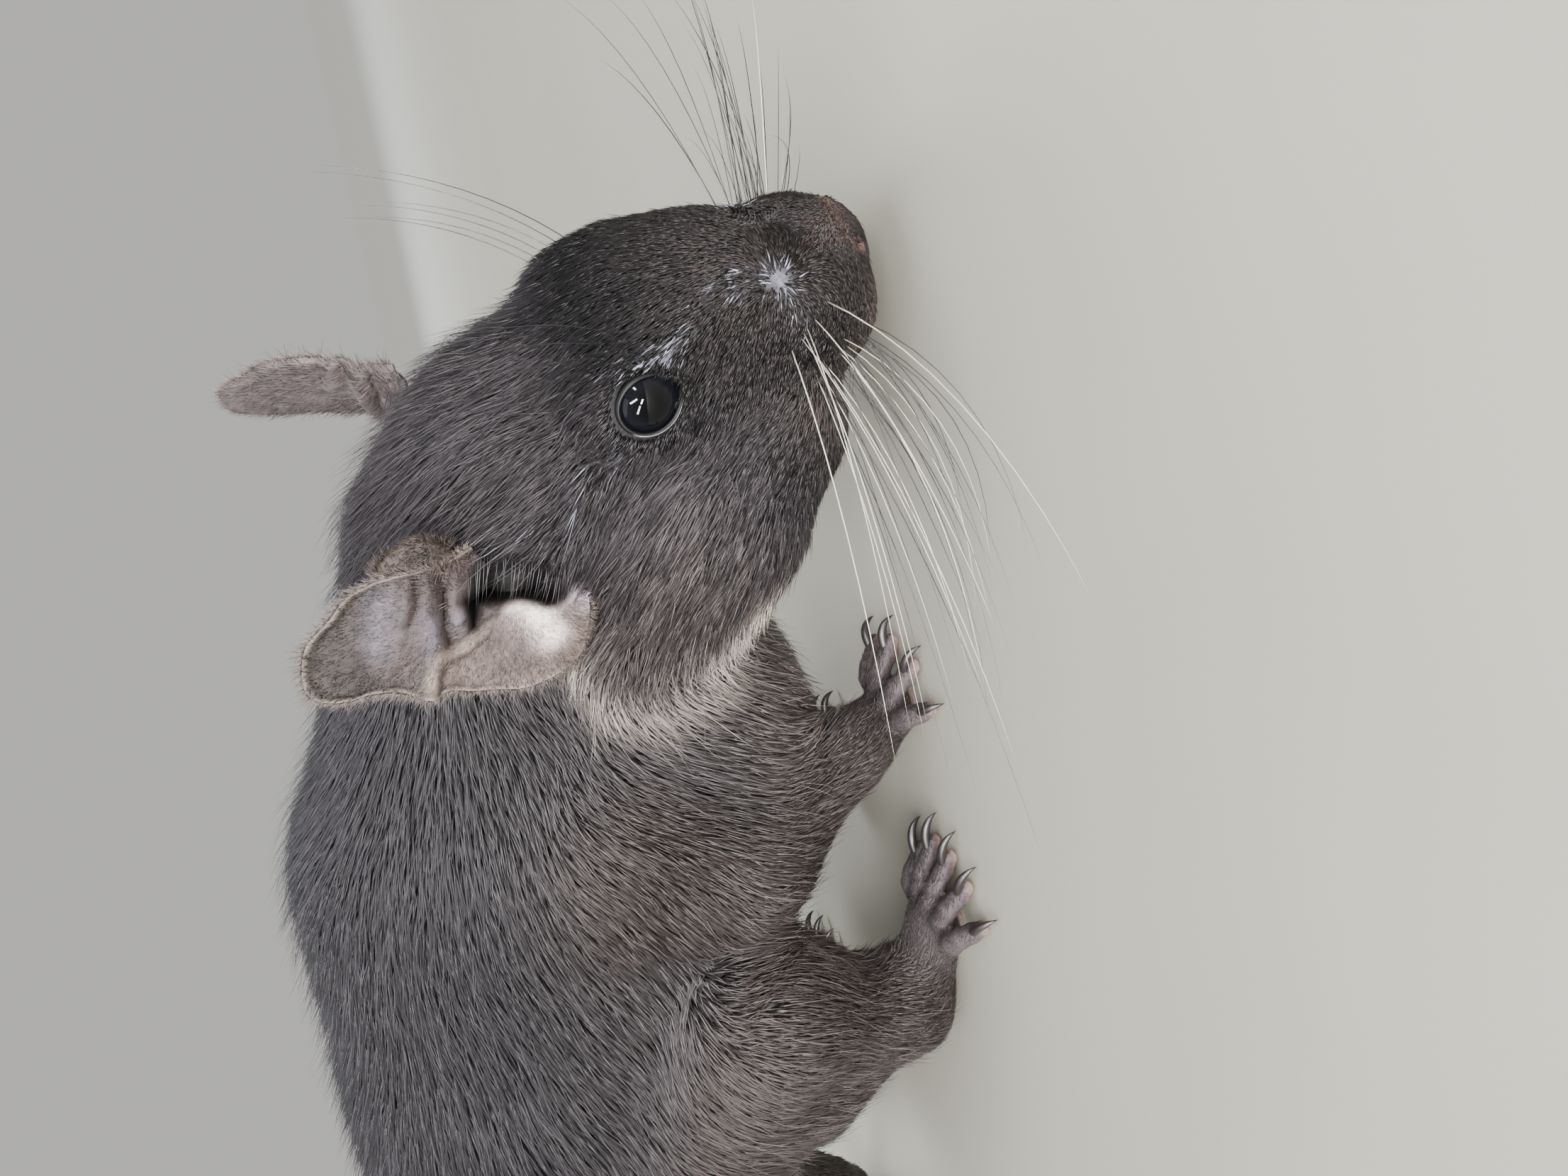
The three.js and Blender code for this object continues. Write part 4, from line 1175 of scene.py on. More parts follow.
# %% [markdown]
# ## Growing hair
#
# Every hair, from a whisker to a lock of down, is the same thing: a thin cone that bends. One is modelled
# as a cone primitive with a few cuts, and is then copied along a curve for each root. Particle hair would
# be quicker to set up, but it isn't mesh. Each copy is bent through its root, its middle and its tip.

# %% Patterns of a hair
def cone_along_x(sides, start):
    """A cone of width 1 that runs along X from its start to 1."""
    bpy.ops.object.select_all(action="DESELECT")
    bpy.ops.mesh.primitive_cone_add(
        vertices=sides, radius1=0.5, radius2=0, depth=1 - start, location=((1 + start) / 2, 0, 0),
        rotation=(0, math.pi / 2, 0))
    bpy.ops.object.transform_apply(location=True, rotation=True, scale=True)
    return bpy.context.object


def taken_apart(pattern):
    """A pattern's corners and triangles. The pattern itself is removed."""
    corners = np.array([v.co for v in pattern.data.vertices])
    faces = np.array([p.vertices[:] for p in pattern.data.polygons])
    bpy.data.objects.remove(pattern)
    return corners, faces


def hair_pattern(sides, cuts, fullness):
    """A cone along X from 0 to 1, cut into rings: its corners and its triangles."""
    pattern = cone_along_x(sides, 0)
    bpy.ops.object.mode_set(mode="EDIT")
    for cut in range(1, cuts + 1):
        bpy.ops.mesh.select_all(action="SELECT")
        bpy.ops.mesh.bisect(plane_co=(cut / (cuts + 1), 0, 0), plane_no=(1, 0, 0))
    bpy.ops.mesh.select_all(action="SELECT")
    bpy.ops.mesh.quads_convert_to_tris()
    bpy.ops.object.mode_set(mode="OBJECT")
    corners, faces = taken_apart(pattern)
    x = np.clip(corners[:, 0], 0, 1)
    swell = (1 - x**fullness) / np.maximum(1 - x, 1e-3)
    corners[:, 1:] *= swell[:, None]
    return corners, faces


THICKEST = 0.35  # how far along a tuft it is thickest


def tuft_pattern():
    """A tuft of short hair: three sides, pointed at the root and at the tip, with six triangles."""
    pattern = cone_along_x(3, THICKEST)
    base = [p.center.x < THICKEST + 0.01 for p in pattern.data.polygons]
    bpy.ops.object.mode_set(mode="EDIT")
    bpy.ops.mesh.select_mode(type="FACE")
    bpy.ops.mesh.select_all(action="DESELECT")
    bpy.ops.object.mode_set(mode="OBJECT")
    pattern.data.polygons.foreach_set("select", base)
    bpy.ops.object.mode_set(mode="EDIT")
    bpy.ops.mesh.poke(offset=THICKEST)
    bpy.ops.object.mode_set(mode="OBJECT")
    turn_outwards(pattern)
    corners, faces = taken_apart(pattern)
    corners[:, 0] = np.clip(corners[:, 0], 0, 1)
    return corners, faces


LOCK = tuft_pattern()
STRAND = hair_pattern(5, 9, 3.0)
BRISTLE = hair_pattern(3, 2, 2.2)
print("a tuft has", len(LOCK[1]), "triangles from", LOCK[0][:, 0].min(), "to", LOCK[0][:, 0].max())
print("a long hair has", len(STRAND[1]), "triangles, and a short one", len(BRISTLE[1]))


# %% Copy a pattern along many curves
def grow(pattern, roots, middles, tips, widths, upright, flat=0.7):
    """Copies the pattern along the curve through each root, middle and tip."""
    corners, faces = pattern
    x, y, z = corners.T
    bend = 2 * middles - (roots + tips) / 2
    t = x[None, :, None]
    spots = (1 - t) ** 2 * roots[:, None] + 2 * t * (1 - t) * bend[:, None] + t**2 * tips[:, None]
    way = unit(2 * (1 - t) * (bend - roots)[:, None] + 2 * t * (tips - bend)[:, None])
    side = unit(np.cross(upright[:, None], way))
    over = np.cross(way, side)
    spots = spots + (y[None, :] * widths[:, None])[..., None] * side
    spots = spots + (z[None, :] * widths[:, None] * flat)[..., None] * over
    count = len(roots)
    index = faces[None] + (np.arange(count) * len(corners))[:, None, None]
    return spots.reshape(-1, 3), index.reshape(-1, 3)


def mesh_piece(name, points, triangles):
    mesh = bpy.data.meshes.new(name)
    mesh.vertices.add(len(points))
    mesh.vertices.foreach_set("co", to_frame(points).astype(np.float32).ravel())
    mesh.loops.add(triangles.size)
    mesh.loops.foreach_set("vertex_index", triangles.astype(np.int32).ravel())
    mesh.polygons.add(len(triangles))
    mesh.polygons.foreach_set("loop_start", np.arange(0, triangles.size, 3, dtype=np.int32))
    mesh.update(calc_edges=True)
    mesh.shade_smooth()
    piece = bpy.data.objects.new(name, mesh)
    bpy.context.collection.objects.link(piece)
    return piece


# %% [markdown]
# ## The coat
#
# The roots are spread over the skin, closer together where the hair is finer. Each lock leaves the skin at
# a low angle, follows the lie, and bends back until it lies at the height that the coat has there. Locks
# that start near each other lean together a little, as hair does. The tips end near the animal's outline,
# and a few stand out of it. Spreading could be done by a node tree. Here it is a few lines of arrays, since
# the length, the lie and the colour all come from the same functions.

# %% Spread the roots
LOCKS_IN_ALL = 198000
SEED = 7
draw = np.random.default_rng(SEED)

mesh = skin.data
mesh.calc_loop_triangles()
tri_corners = read(mesh.loop_triangles, "vertices", kind=np.int32)
tri_loops = read(mesh.loop_triangles, "loops", kind=np.int32)
skin_map = read(mesh.uv_layers["SkinMap"].uv, "vector", width=2)
skin_normals = read(mesh.vertices, "normal").astype(float)


SOLE_HEIGHT = 0.6
FACE_CLOSENESS, FOOT_THINNING = 1.35, 0.6  # how much closer the hair is on the head, and thinner on the feet


# %% Where hair grows, and how close
def bare_places(points):
    """Where no hair grows: eyes, nose, inside the ears, soles and the undersides of toes."""
    bare = (skin_share[NOSE_ZONE] > 0.75) | in_canal | (points[:, 2] < SOLE_HEIGHT)
    bare |= (skin_share[TOE_ZONE] > 0.6) & (skin_normals[:, 2] < 0.2)
    for side in SIDES:
        out, _, up = eye_axes(side)
        away = points - eye_centre(side)
        height = away @ out
        wide = np.linalg.norm(away - height[:, None] * out, axis=1)
        upper = smooth((away @ up) / np.maximum(wide, 1e-6), -0.1, 0.6)
        bare |= (height > -0.5) & (wide < EYE_OPENING + 0.3 + 0.12 * upper)
    return bare


closeness = np.where(skin_share[HEAD_ZONE] > 0.5, FACE_CLOSENESS, 1.0)
closeness = 1 / (skin_width * skin_length) * closeness
toes_and_feet = skin_share[TOE_ZONE] + skin_share[HAND_ZONES + FOOT_ZONES].sum(axis=0)
closeness *= 1 - FOOT_THINNING * np.clip(toes_and_feet, 0, 1)
closeness = np.where(bare_places(skin_points), 0, closeness)
a, b, c = (skin_points[tri_corners[:, k]] for k in range(3))
areas = 0.5 * np.linalg.norm(np.cross(b - a, c - a), axis=1)
weight = areas * closeness[tri_corners].min(axis=1)
run = np.cumsum(weight)
marks = (np.arange(LOCKS_IN_ALL) + draw.random(LOCKS_IN_ALL)) / LOCKS_IN_ALL * run[-1]
host = np.searchsorted(run, marks).clip(0, len(tri_corners) - 1)
u, v = draw.random((2, LOCKS_IN_ALL))
over = u + v > 1
u[over], v[over] = 1 - u[over], 1 - v[over]
inside = np.stack([1 - u - v, u, v], axis=1)


# %% Read the skin at the roots
def on_skin(values):
    """A value kept for each corner of the skin, read at the roots."""
    return np.einsum("nk,nk...->n...", inside, values[tri_corners[host]])


roots = on_skin(skin_points)
normals = unit(on_skin(skin_normals))
root_map = np.einsum("nk,nkd->nd", inside, skin_map[tri_loops[host]])
print("roots:", LOCKS_IN_ALL, "on", round(areas.sum()), "square millimetres")


# %% Bend the locks
def waves(points, size, seed):
    """A soft random value between about -1 and 1 that changes over the given size."""
    pick = np.random.default_rng(seed)
    total = np.zeros(len(points))
    for _ in range(7):
        way = pick.normal(size=3)
        total += np.sin(points @ (unit(way) * 2 * math.pi / (size * pick.uniform(0.7, 1.5)))
                        + pick.uniform(0, 6.28))
    return total / 4


depth, length, width, lie, share = fur_at(roots, normals)
ruff = ruff_share(roots)
pale = (draw.random(len(roots)) < pale_marks(roots)) * draw.uniform(0.25, 1.0, len(roots))
length = length * draw.uniform(0.72, 1.25, len(roots)) * (1 + 0.35 * ruff) * (1 - 0.25 * pale)
width = width * draw.uniform(0.7, 1.3, len(roots))
swing = np.radians(8 * draw.normal(size=len(roots)) + 8 * waves(roots, 9, 1) + 5 * waves(roots, 4, 2))
side_way = np.cross(normals, lie)
lie = np.cos(swing)[:, None] * lie + np.sin(swing)[:, None] * side_way
STRAY_SHARE, SUNK = 0.035, 0.25  # the share of locks that stand out, and how deep roots sit in the skin
stray = draw.random(len(roots)) < STRAY_SHARE
height = depth * draw.uniform(0.55, 1.12, len(roots)) + 0.04 * length
height = height + np.where(stray, 0.16 * length, 0) + 0.6 * ruff
middles = roots + lie * (0.5 * length)[:, None]
tips = roots + lie * (0.97 * length)[:, None]

# %% Lean neighbours together and lay them at their height
CLUMP = 1.9  # mm, how far apart locks still lean together
cell_size = CLUMP * np.clip(length / 4.5, 0.35, 1.2)
cells = np.floor(roots / np.exp(np.round(np.log(cell_size) * 3) / 3)[:, None]).astype(np.int64)
_, clump = np.unique(cells @ np.array([1, 4001, 16008001]), return_inverse=True)
clump = clump.ravel()
members = np.bincount(clump)


def clump_mean(values):
    return np.stack([np.bincount(clump, values[:, k]) / members for k in range(3)], axis=1)[clump]


pull = ((0.36 + 0.16 * share[HEAD_ZONE]) * draw.uniform(0.4, 1.2, len(roots)))[:, None]
tips += pull * (clump_mean(tips) - tips)
base_level = body_field(roots)


def raise_to(level, spots):
    """Moves spots along the body field's slope to this level of it."""
    for _ in range(2):
        here, way = slope(body_field, spots)
        spots += (level - here)[:, None] * unit(way)


raise_to(base_level + 0.72 * height, middles)
raise_to(base_level + height, tips)
keep_above(0.25, middles, tips)
start = roots - normals * SUNK
keep_above(0.2, start)
clump_shade = np.random.default_rng(3).uniform(-1, 1, len(members))[clump]
contrast = 1 + 2.6 * share[HEAD_ZONE]  # the short hair of the face is more speckled
shade = 0.5 + contrast * (0.08 * clump_shade + 0.11 * draw.normal(size=len(roots)))
shade = np.clip(shade + 0.07 * waves(roots, 14, 5), 0.02, 1.6)
colours = coat_colour(roots, share, pale)
print("locks are bent; the longest is", round(length.max(), 1), "mm")


# %% Coat material
def make_hair(name, roughness, tip_light):
    """Hair: keratin shafts with a clean gloss, dark at the root and lighter towards the tip."""
    material, tree, shader = new_material(name)
    tone = node(tree, "ShaderNodeAttribute", {}, attribute_name="tone").outputs["Color"]
    shade_in = node(tree, "ShaderNodeAttribute", {}, attribute_name="shade").outputs["Fac"]
    along_in = node(tree, "ShaderNodeAttribute", {}, attribute_name="along").outputs["Fac"]
    lighter = node(tree, "ShaderNodeMapRange", {"Value": shade_in, "From Min": 0.0, "From Max": 1.0,
                                                "To Min": 0.35, "To Max": 1.95})
    outward = node(tree, "ShaderNodeMapRange", {"Value": along_in, "From Min": 0.0, "From Max": 0.9,
                                                "To Min": 0.5, "To Max": tip_light})
    factor = node(tree, "ShaderNodeMath", {0: lighter.outputs["Result"], 1: outward.outputs["Result"]},
                  operation="MULTIPLY")
    shaded = node(tree, "ShaderNodeVectorMath", {0: tone, "Scale": factor.outputs["Value"]},
                  operation="SCALE")
    fill(shader, {"Base Color": shaded.outputs["Vector"], "Roughness": roughness, "IOR": 1.55,
                  "Specular IOR Level": 0.2})
    return material


COAT_HAIR = make_hair("dark_keratin_coat", 0.4, 1.5)
print("the coat's hair is", COAT_HAIR.name)

# %% Hairs as one mesh
PATCH = 0.003  # width of a lock's patch on the map
MOST_LOCKS = 199000 // len(LOCK[1])


def hair_piece(name, pattern, spots, widths, upright, flat, tones, shades, places):
    """Hairs by their roots, middles and tips as one mesh, each with its colour and place on the map."""
    points, triangles = grow(pattern, *spots, widths, upright, flat)
    piece = mesh_piece(name, points, triangles)
    x, y, _ = pattern[0].T
    paint(piece, "tone", np.repeat(tones, len(x), axis=0))
    store(piece, "shade", np.repeat(shades, len(x)))
    store(piece, "along", np.tile(x, len(widths)))
    patch = (places[:, None] + PATCH * np.stack([y, x - 0.5], axis=1)[None]).reshape(-1, 2)
    layer = piece.data.uv_layers.new(name="OFBake")
    layer.uv.foreach_set("vector", patch[triangles.ravel()].astype(np.float32).ravel())
    wear(piece, COAT_HAIR)
    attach(piece, "root")
    return piece


def rows_of_patches(count):
    """A place of its own on the map for each of a few hairs."""
    across = math.ceil(math.sqrt(count))
    number = np.arange(count)
    return (np.stack([number % across, number // across], axis=1) + 0.5) / across


def coat_piece(name, pick, slot):
    """The picked locks as one mesh."""
    return hair_piece(name, LOCK, (start[pick], middles[pick], tips[pick]), width[pick], normals[pick], 0.45,
                      colours[pick], shade[pick], root_map[pick])


# %% Dress the animal in its coat
NECK_FROM, RIBS_FROM = 2, -36
ahead, leftwards = roots[:, 0], roots[:, 1]
head_part = share[HEAD_ZONE] + share[NOSE_ZONE] > 0.5
tail_part = share[TAIL_ZONE] > 0.5
limb_part = (share[TOE_ZONE] + share[LIMB_ZONES].sum(axis=0) > 0.5) & ~head_part & ~tail_part
rest_part = ~(head_part | tail_part | limb_part)
COAT_PARTS = {}
for name, mine, across in (
    ("coat_head", head_part, to_head(roots)[:, 1]),
    ("coat_tail", tail_part, None),
    ("coat_limbs", limb_part, leftwards),
    ("coat_neck", rest_part & (ahead > NECK_FROM), None),
    ("coat_ribs", rest_part & (ahead <= NECK_FROM) & (ahead > RIBS_FROM), leftwards),
    ("coat_rump", rest_part & (ahead <= RIBS_FROM), leftwards),
):
    if across is None:
        COAT_PARTS[name] = mine
    else:
        COAT_PARTS[name + "_right"] = mine & (across < 0)
        COAT_PARTS[name + "_left"] = mine & (across >= 0)
for name, mine in COAT_PARTS.items():
    picks = np.flatnonzero(mine)
    groups = max(1, math.ceil(len(picks) / MOST_LOCKS))
    for number, pick in enumerate(np.array_split(picks, groups)):
        full_name = name if groups == 1 else f"{name}_{number + 1}"
        coat_piece(full_name, pick, "face_coat" if "head" in name else "coat")
        print(full_name, len(pick), "locks")

# %% Guard hairs
# A thin scatter of longer, straighter hairs stands out of the coat, most on the crown, nape, back and belly.
GUARD_HAIRS, HIGHEST_HAIR = 9000, 71.1
pick = np.random.default_rng(9)
h = mirrored(roots)
likely = share[TRUNK_ZONES].sum(axis=0) * (0.6 + 0.8 * smooth(roots[:, 2], 40, 60))
likely += 1.6 * share[HEAD_ZONE] * smooth(-h[:, 0], -4, 8) * smooth(h[:, 2], -6, 2)
likely += 0.5 * share[LIMB_ZONES].sum(axis=0) * (length > 2.4)
chosen = pick.choice(len(roots), GUARD_HAIRS, replace=False, p=likely / likely.sum())
longer = length[chosen] * pick.uniform(1.25, 1.8, GUARD_HAIRS)
guard_middles = roots[chosen] + lie[chosen] * (0.5 * longer)[:, None]
guard_tips = roots[chosen] + lie[chosen] * (0.96 * longer)[:, None]
for spots, part, out_share in ((guard_middles, 0.8, 0.05), (guard_tips, 1.0, 0.2)):
    stand = part * depth[chosen] + out_share * longer * pick.uniform(0.5, 1.3, GUARD_HAIRS)
    raise_to(base_level[chosen] + stand, spots)
    spots[:, 2] = spots[:, 2].clip(0.25, HIGHEST_HAIR)
hair_piece("coat_guard_hairs", BRISTLE, (start[chosen], guard_middles, guard_tips),
           np.full(GUARD_HAIRS, 0.1), normals[chosen], 0.6, colours[chosen] * 1.1,
           0.55 + 0.25 * pick.normal(size=GUARD_HAIRS), root_map[chosen])
print("guard hairs:", GUARD_HAIRS, "with", len(BRISTLE[1]) * GUARD_HAIRS, "triangles")

# %% [markdown]
# ## The ears
#
# A degu's ear is a thin, nearly bare dish that opens at the canal and spreads to a free edge. Folds cross it
# where it can crumple up, and a crest runs down to a notch in its edge. It could be sculpted. It is drawn
# here as a sheet: a grid primitive whose columns run round the canal and whose rows run out to the edge, so
# the folds can be placed by name. A Solidify modifier gives the sheet its thickness.

# %% The form of an ear
EAR_EDGE = [  # the free edge from the brow round the tip to the cheek, along and across the ear
    (3.2, -4.6), (5.2, -3.8), (7.7, -3.3), (10.5, -3.2), (12, -3), (13.9, -2.2), (15.6, -0.6), (17.4, 1.1),
    (18.3, 3), (18.4, 4.8), (17.6, 6.4), (16.2, 7.3), (14.4, 7.5), (12.8, 7.3), (10.2, 7.9), (8.6, 8.8),
    (7.4, 9.4), (6.4, 9), (5.2, 9.1), (3, 9.7), (-0.6, 10.4), (-3.5, 10.1), (-5.4, 9.1), (-6.7, 7.7),
    (-7.2, 5.6), (-7.5, 3.6), (-7.3, 1.8), (-6.6, 0.2),
]
CREST = [(0.8, 1.6), (2.7, 4.2), (4.5, 5.2), (6.5, 5.6), (7.2, 7.1), (7.4, 9.2)]
GROOVES = [  # spots, depth and half width
    ([(8.3, -2.9), (8.4, -0.2), (9.1, 1.4)], 0.6, 0.55),
    ([(6, -3.1), (6.2, 0.3), (6.2, 2.6), (5.8, 4.6)], 1.1, 0.75),
]
RIDGES = [
    ([(4.9, -2.8), (5.1, 0.6), (4.4, 3.1)], 0.6, 0.5),
    ([(7.2, -2.6), (7.3, 2)], 0.35, 0.5),
    ([(8.9, -2.6), (9.3, 0), (10.1, 2.7), (10.3, 4.5)], 0.16, 0.18),
]
# The lobe is painted near white along this line: a painted highlight where it curves over into the canal.
LOBE_HIGHLIGHT = [(-1.4, 1.9), (-2.5, 3.6), (-3.6, 5.4)]
BLUISH = [((11.2, -0.6), 1.5), ((11.8, 2.4), 1.3), ((7.5, 1.8), 1.1), ((7.2, 4), 0.9), ((4.8, 2.1), 0.7)]


# %% The sheet of an ear
def ear_points(side, flat, out):
    """Places in the body's axes from those along, across and out of an ear."""
    places = np.stack([flat[:, 0], flat[:, 1], out], axis=1) @ ear_axes(side)
    return from_head(CANAL * [1, side, 1] + places)


def beside(points, spots):
    """Distance to a line of segments, below zero on its right hand."""
    best, hand = np.full(len(points), 99.0), np.ones(len(points))
    for a, b in zip(np.array(spots), np.array(spots[1:])):
        far = cone(a, b, 0, 0)(points)
        turn = (b - a)[0] * (points[:, 1] - a[1]) - (b - a)[1] * (points[:, 0] - a[0])
        hand = np.where(far < best, np.sign(turn), hand)
        best = np.minimum(best, far)
    return best * hand


def ear_height(flat, share_out):
    """How far the sheet stands out of its plane."""
    along, across = flat.T
    canal, crest = canal_away(flat), beside(flat, CREST)
    height = -1.8 * (1 - smooth(canal, 0, 5)) - 4.6 * (1 - smooth(canal, -1.8, 0.7))
    height += -0.012 * np.maximum(along - 6, 0) ** 2 + 3.0 * (1 - smooth(along, -6, 3))
    height += 1.3 * np.exp(-(((along + 2) / 4.6) ** 2 + ((across - 5) / 3.6) ** 2))
    for groove in GROOVES:
        height -= soft_line(flat, *groove)
    for ridge in RIDGES:
        height += soft_line(flat, *ridge)
    far_side = np.exp(-(crest / np.where(crest > 0, 0.35, 1.3)) ** 2)
    height += 0.9 * far_side * smooth(share_out, 0.25, 0.45)
    return height + 0.45 * smooth(share_out, 0.93, 1) * smooth(along, -5, -3)


def ear_surface(side, turn, share_out):
    """The sheet at shares of the way round its edge and out to it."""
    ripple = 1 + 0.006 * np.sin(70 * turn) * smooth(share_out, 0.8, 1)
    flat = curve_at(EAR_EDGE, turn) * (share_out * ripple)[:, None]
    return ear_points(side, flat, ear_height(flat, share_out)), flat


# %% The colours of an ear
# Colours of the ear. Painted light and shade among them: the near-white highlight on the lobe, the pale light
# along the crest, and the dark of the grooves, of the shadow under the crest and of the canal.
EAR = {"tip": "#2e2725", "middle": "#463d3c", "lobe": "#5f5350", "lobe_highlight": "#f8ebe9", "canal": "#0a0807",
       "groove": "#221914", "crest": "#85786f", "bluish": "#716c79", "rim": "#8a7f78", "back": "#655b5b",
       "root": "#948c98"}


def ear_colours(flat, share_out):
    along, across = flat.T
    canal, crest = canal_away(flat), beside(flat, CREST)
    lobe = smooth(crest, 0, 0.8) * (1 - smooth(along, 6, 7.5))
    crest_highlight = np.exp(-((crest + 0.25) / 0.5) ** 2) * smooth(share_out, 0.25, 0.5)
    shadow = np.exp(-((crest - 0.55) / 0.4) ** 2) * smooth(along, 2.5, 4.5) * smooth(share_out, 0.3, 0.5)
    patches = [np.exp(-(np.hypot(along - a, (across - b) * 0.7) / size) ** 2) for (a, b), size in BLUISH]
    return layered(EAR, plain(EAR["middle"], len(flat)), [
        ("tip", smooth(along, 10, 14)),
        ("lobe", lobe),
        # painted highlight on the lobe
        ("lobe_highlight", lobe * soft_line(flat, LOBE_HIGHLIGHT, 1, 1.25)),
        *[("bluish", 0.5 * patch) for patch in patches],
        # painted shade in the grooves
        *[("groove", soft_line(flat, line, 0.85, half_width)) for line, deep, half_width in GROOVES],
        # painted highlight along the fold's crest
        ("crest", 0.75 * crest_highlight),
        # painted shadow under the crest's edge
        ("groove", 0.6 * shadow),
        ("root", 0.8 * np.exp(-(np.hypot(along + 7, across - 2.2) / 1.6) ** 2)),
        ("rim", 0.5 * smooth(share_out, 0.97, 1)),
        # the canal painted near black: painted shade in the recess
        ("canal", 1 - smooth(canal, -0.3, 0.8)),
    ])


# %% Make the ears
EAR_ROUND, EAR_OUT, EAR_THICKNESS = 240, 64, 0.7
INNER_SHARE = 0.06  # the sheet starts this share of the way from the canal's middle to the edge


def thinner(share_out):
    """The ear's thickness at its middle and near its edge, as a share of the full one."""
    return 1 - 0.5 * smooth(share_out, 0.3, 1)


def ear(side):
    bpy.ops.object.select_all(action="DESELECT")
    bpy.ops.mesh.primitive_grid_add(x_subdivisions=EAR_ROUND, y_subdivisions=EAR_OUT, size=2,
                                    location=(0, 0, 0))
    sheet = named("ear_skin_" + SIDES[side])
    x, y, _ = raw_corners(sheet).T
    share_out = INNER_SHARE + (1 - INNER_SHARE) * (y + 1) / 2
    points, flat = ear_surface(side, np.clip((x + 1) / 2, 0, 1), share_out)
    move_corners(sheet, points)
    thick = sheet.vertex_groups.new(name="thickness")
    for i, weight in enumerate(thinner(share_out)):
        thick.add([i], float(weight), "REPLACE")
    turn_outwards(sheet)
    apply_modifier(sheet, "SOLIDIFY", thickness=EAR_THICKNESS * MM, offset=0, vertex_group="thickness",
                   thickness_vertex_group=0.0)
    bpy.ops.object.shade_smooth()
    front = ear_colours(flat, share_out)
    behind = mix(front, EAR["back"], np.full(len(front), 0.9))
    halves = corners_of(sheet).reshape(2, -1, 3)
    first_is_front = ((halves[0] - halves[1]) @ head_way(*ear_axes(side)[2])).mean() > 0
    paint(sheet, "tone", np.vstack([front, behind] if first_is_front else [behind, front]))
    return sheet


# %% Ear skin
def make_ear_skin():
    """Thin warm skin under a velvet of hairs too short to see one by one. The speckle is 0.35 mm."""
    material, tree, shader = new_material("velvet_ear_skin")
    place = node(tree, "ShaderNodeTexCoord", {}).outputs["Object"]
    tone = node(tree, "ShaderNodeAttribute", {}, attribute_name="tone").outputs["Color"]
    speckle = node(tree, "ShaderNodeTexNoise", {"Vector": place, "Scale": 1 / (0.35 * MM), "Detail": 4.0,
                                                "Roughness": 0.7})
    cloud = node(tree, "ShaderNodeTexNoise", {"Vector": place, "Scale": 1 / (2.2 * MM), "Detail": 3.0})
    both = node(tree, "ShaderNodeMath", {0: speckle.outputs["Fac"], 1: cloud.outputs["Fac"]}, operation="ADD")
    ramp = node(tree, "ShaderNodeMapRange", {"Value": both.outputs["Value"], "From Min": 0.72,
                                             "From Max": 1.28, "To Min": 0.35, "To Max": 1.7})
    shaded = node(tree, "ShaderNodeVectorMath", {0: tone, "Scale": ramp.outputs["Result"]}, operation="SCALE")
    bump = node(tree, "ShaderNodeBump", {"Height": speckle.outputs["Fac"], "Strength": 0.7,
                                         "Distance": 0.12 * MM})
    fill(shader, {"Base Color": shaded.outputs["Vector"], "Normal": bump.outputs["Normal"], "Roughness": 0.7,
                  "Specular IOR Level": 0.25})
    return material


EAR_SKIN = make_ear_skin()
for side, word in SIDES.items():
    sheet = ear(side)
    wear(sheet, EAR_SKIN)
    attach(sheet, "root")
    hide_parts("ear_" + word)
    print("ear", word, len(sheet.data.polygons), "faces")


# %% [markdown]
# ### Velvet, fringe and lashes
#
# Short hairs cover both sides of the ear, a pale fringe stands on its edge, and a row of longer dark hairs
# hangs over the canal like lashes. Where the right ear's front edge meets the head there is a soft furry
# lump. It could be sculpted with the head, but it moves with the ear. All the hairs are the same tufts and
# bristles as before, grown from places on the sheet.

# %% Hair on the ears
VELVET, FRINGE = 9000, 1500
FRINGE_LENGTH, FRONT_LENGTH, BACK_LENGTH = (0.5, 1.2), (0.5, 0.95), (1.2, 2.2)
FRINGE_COLOUR = "#7d736d"


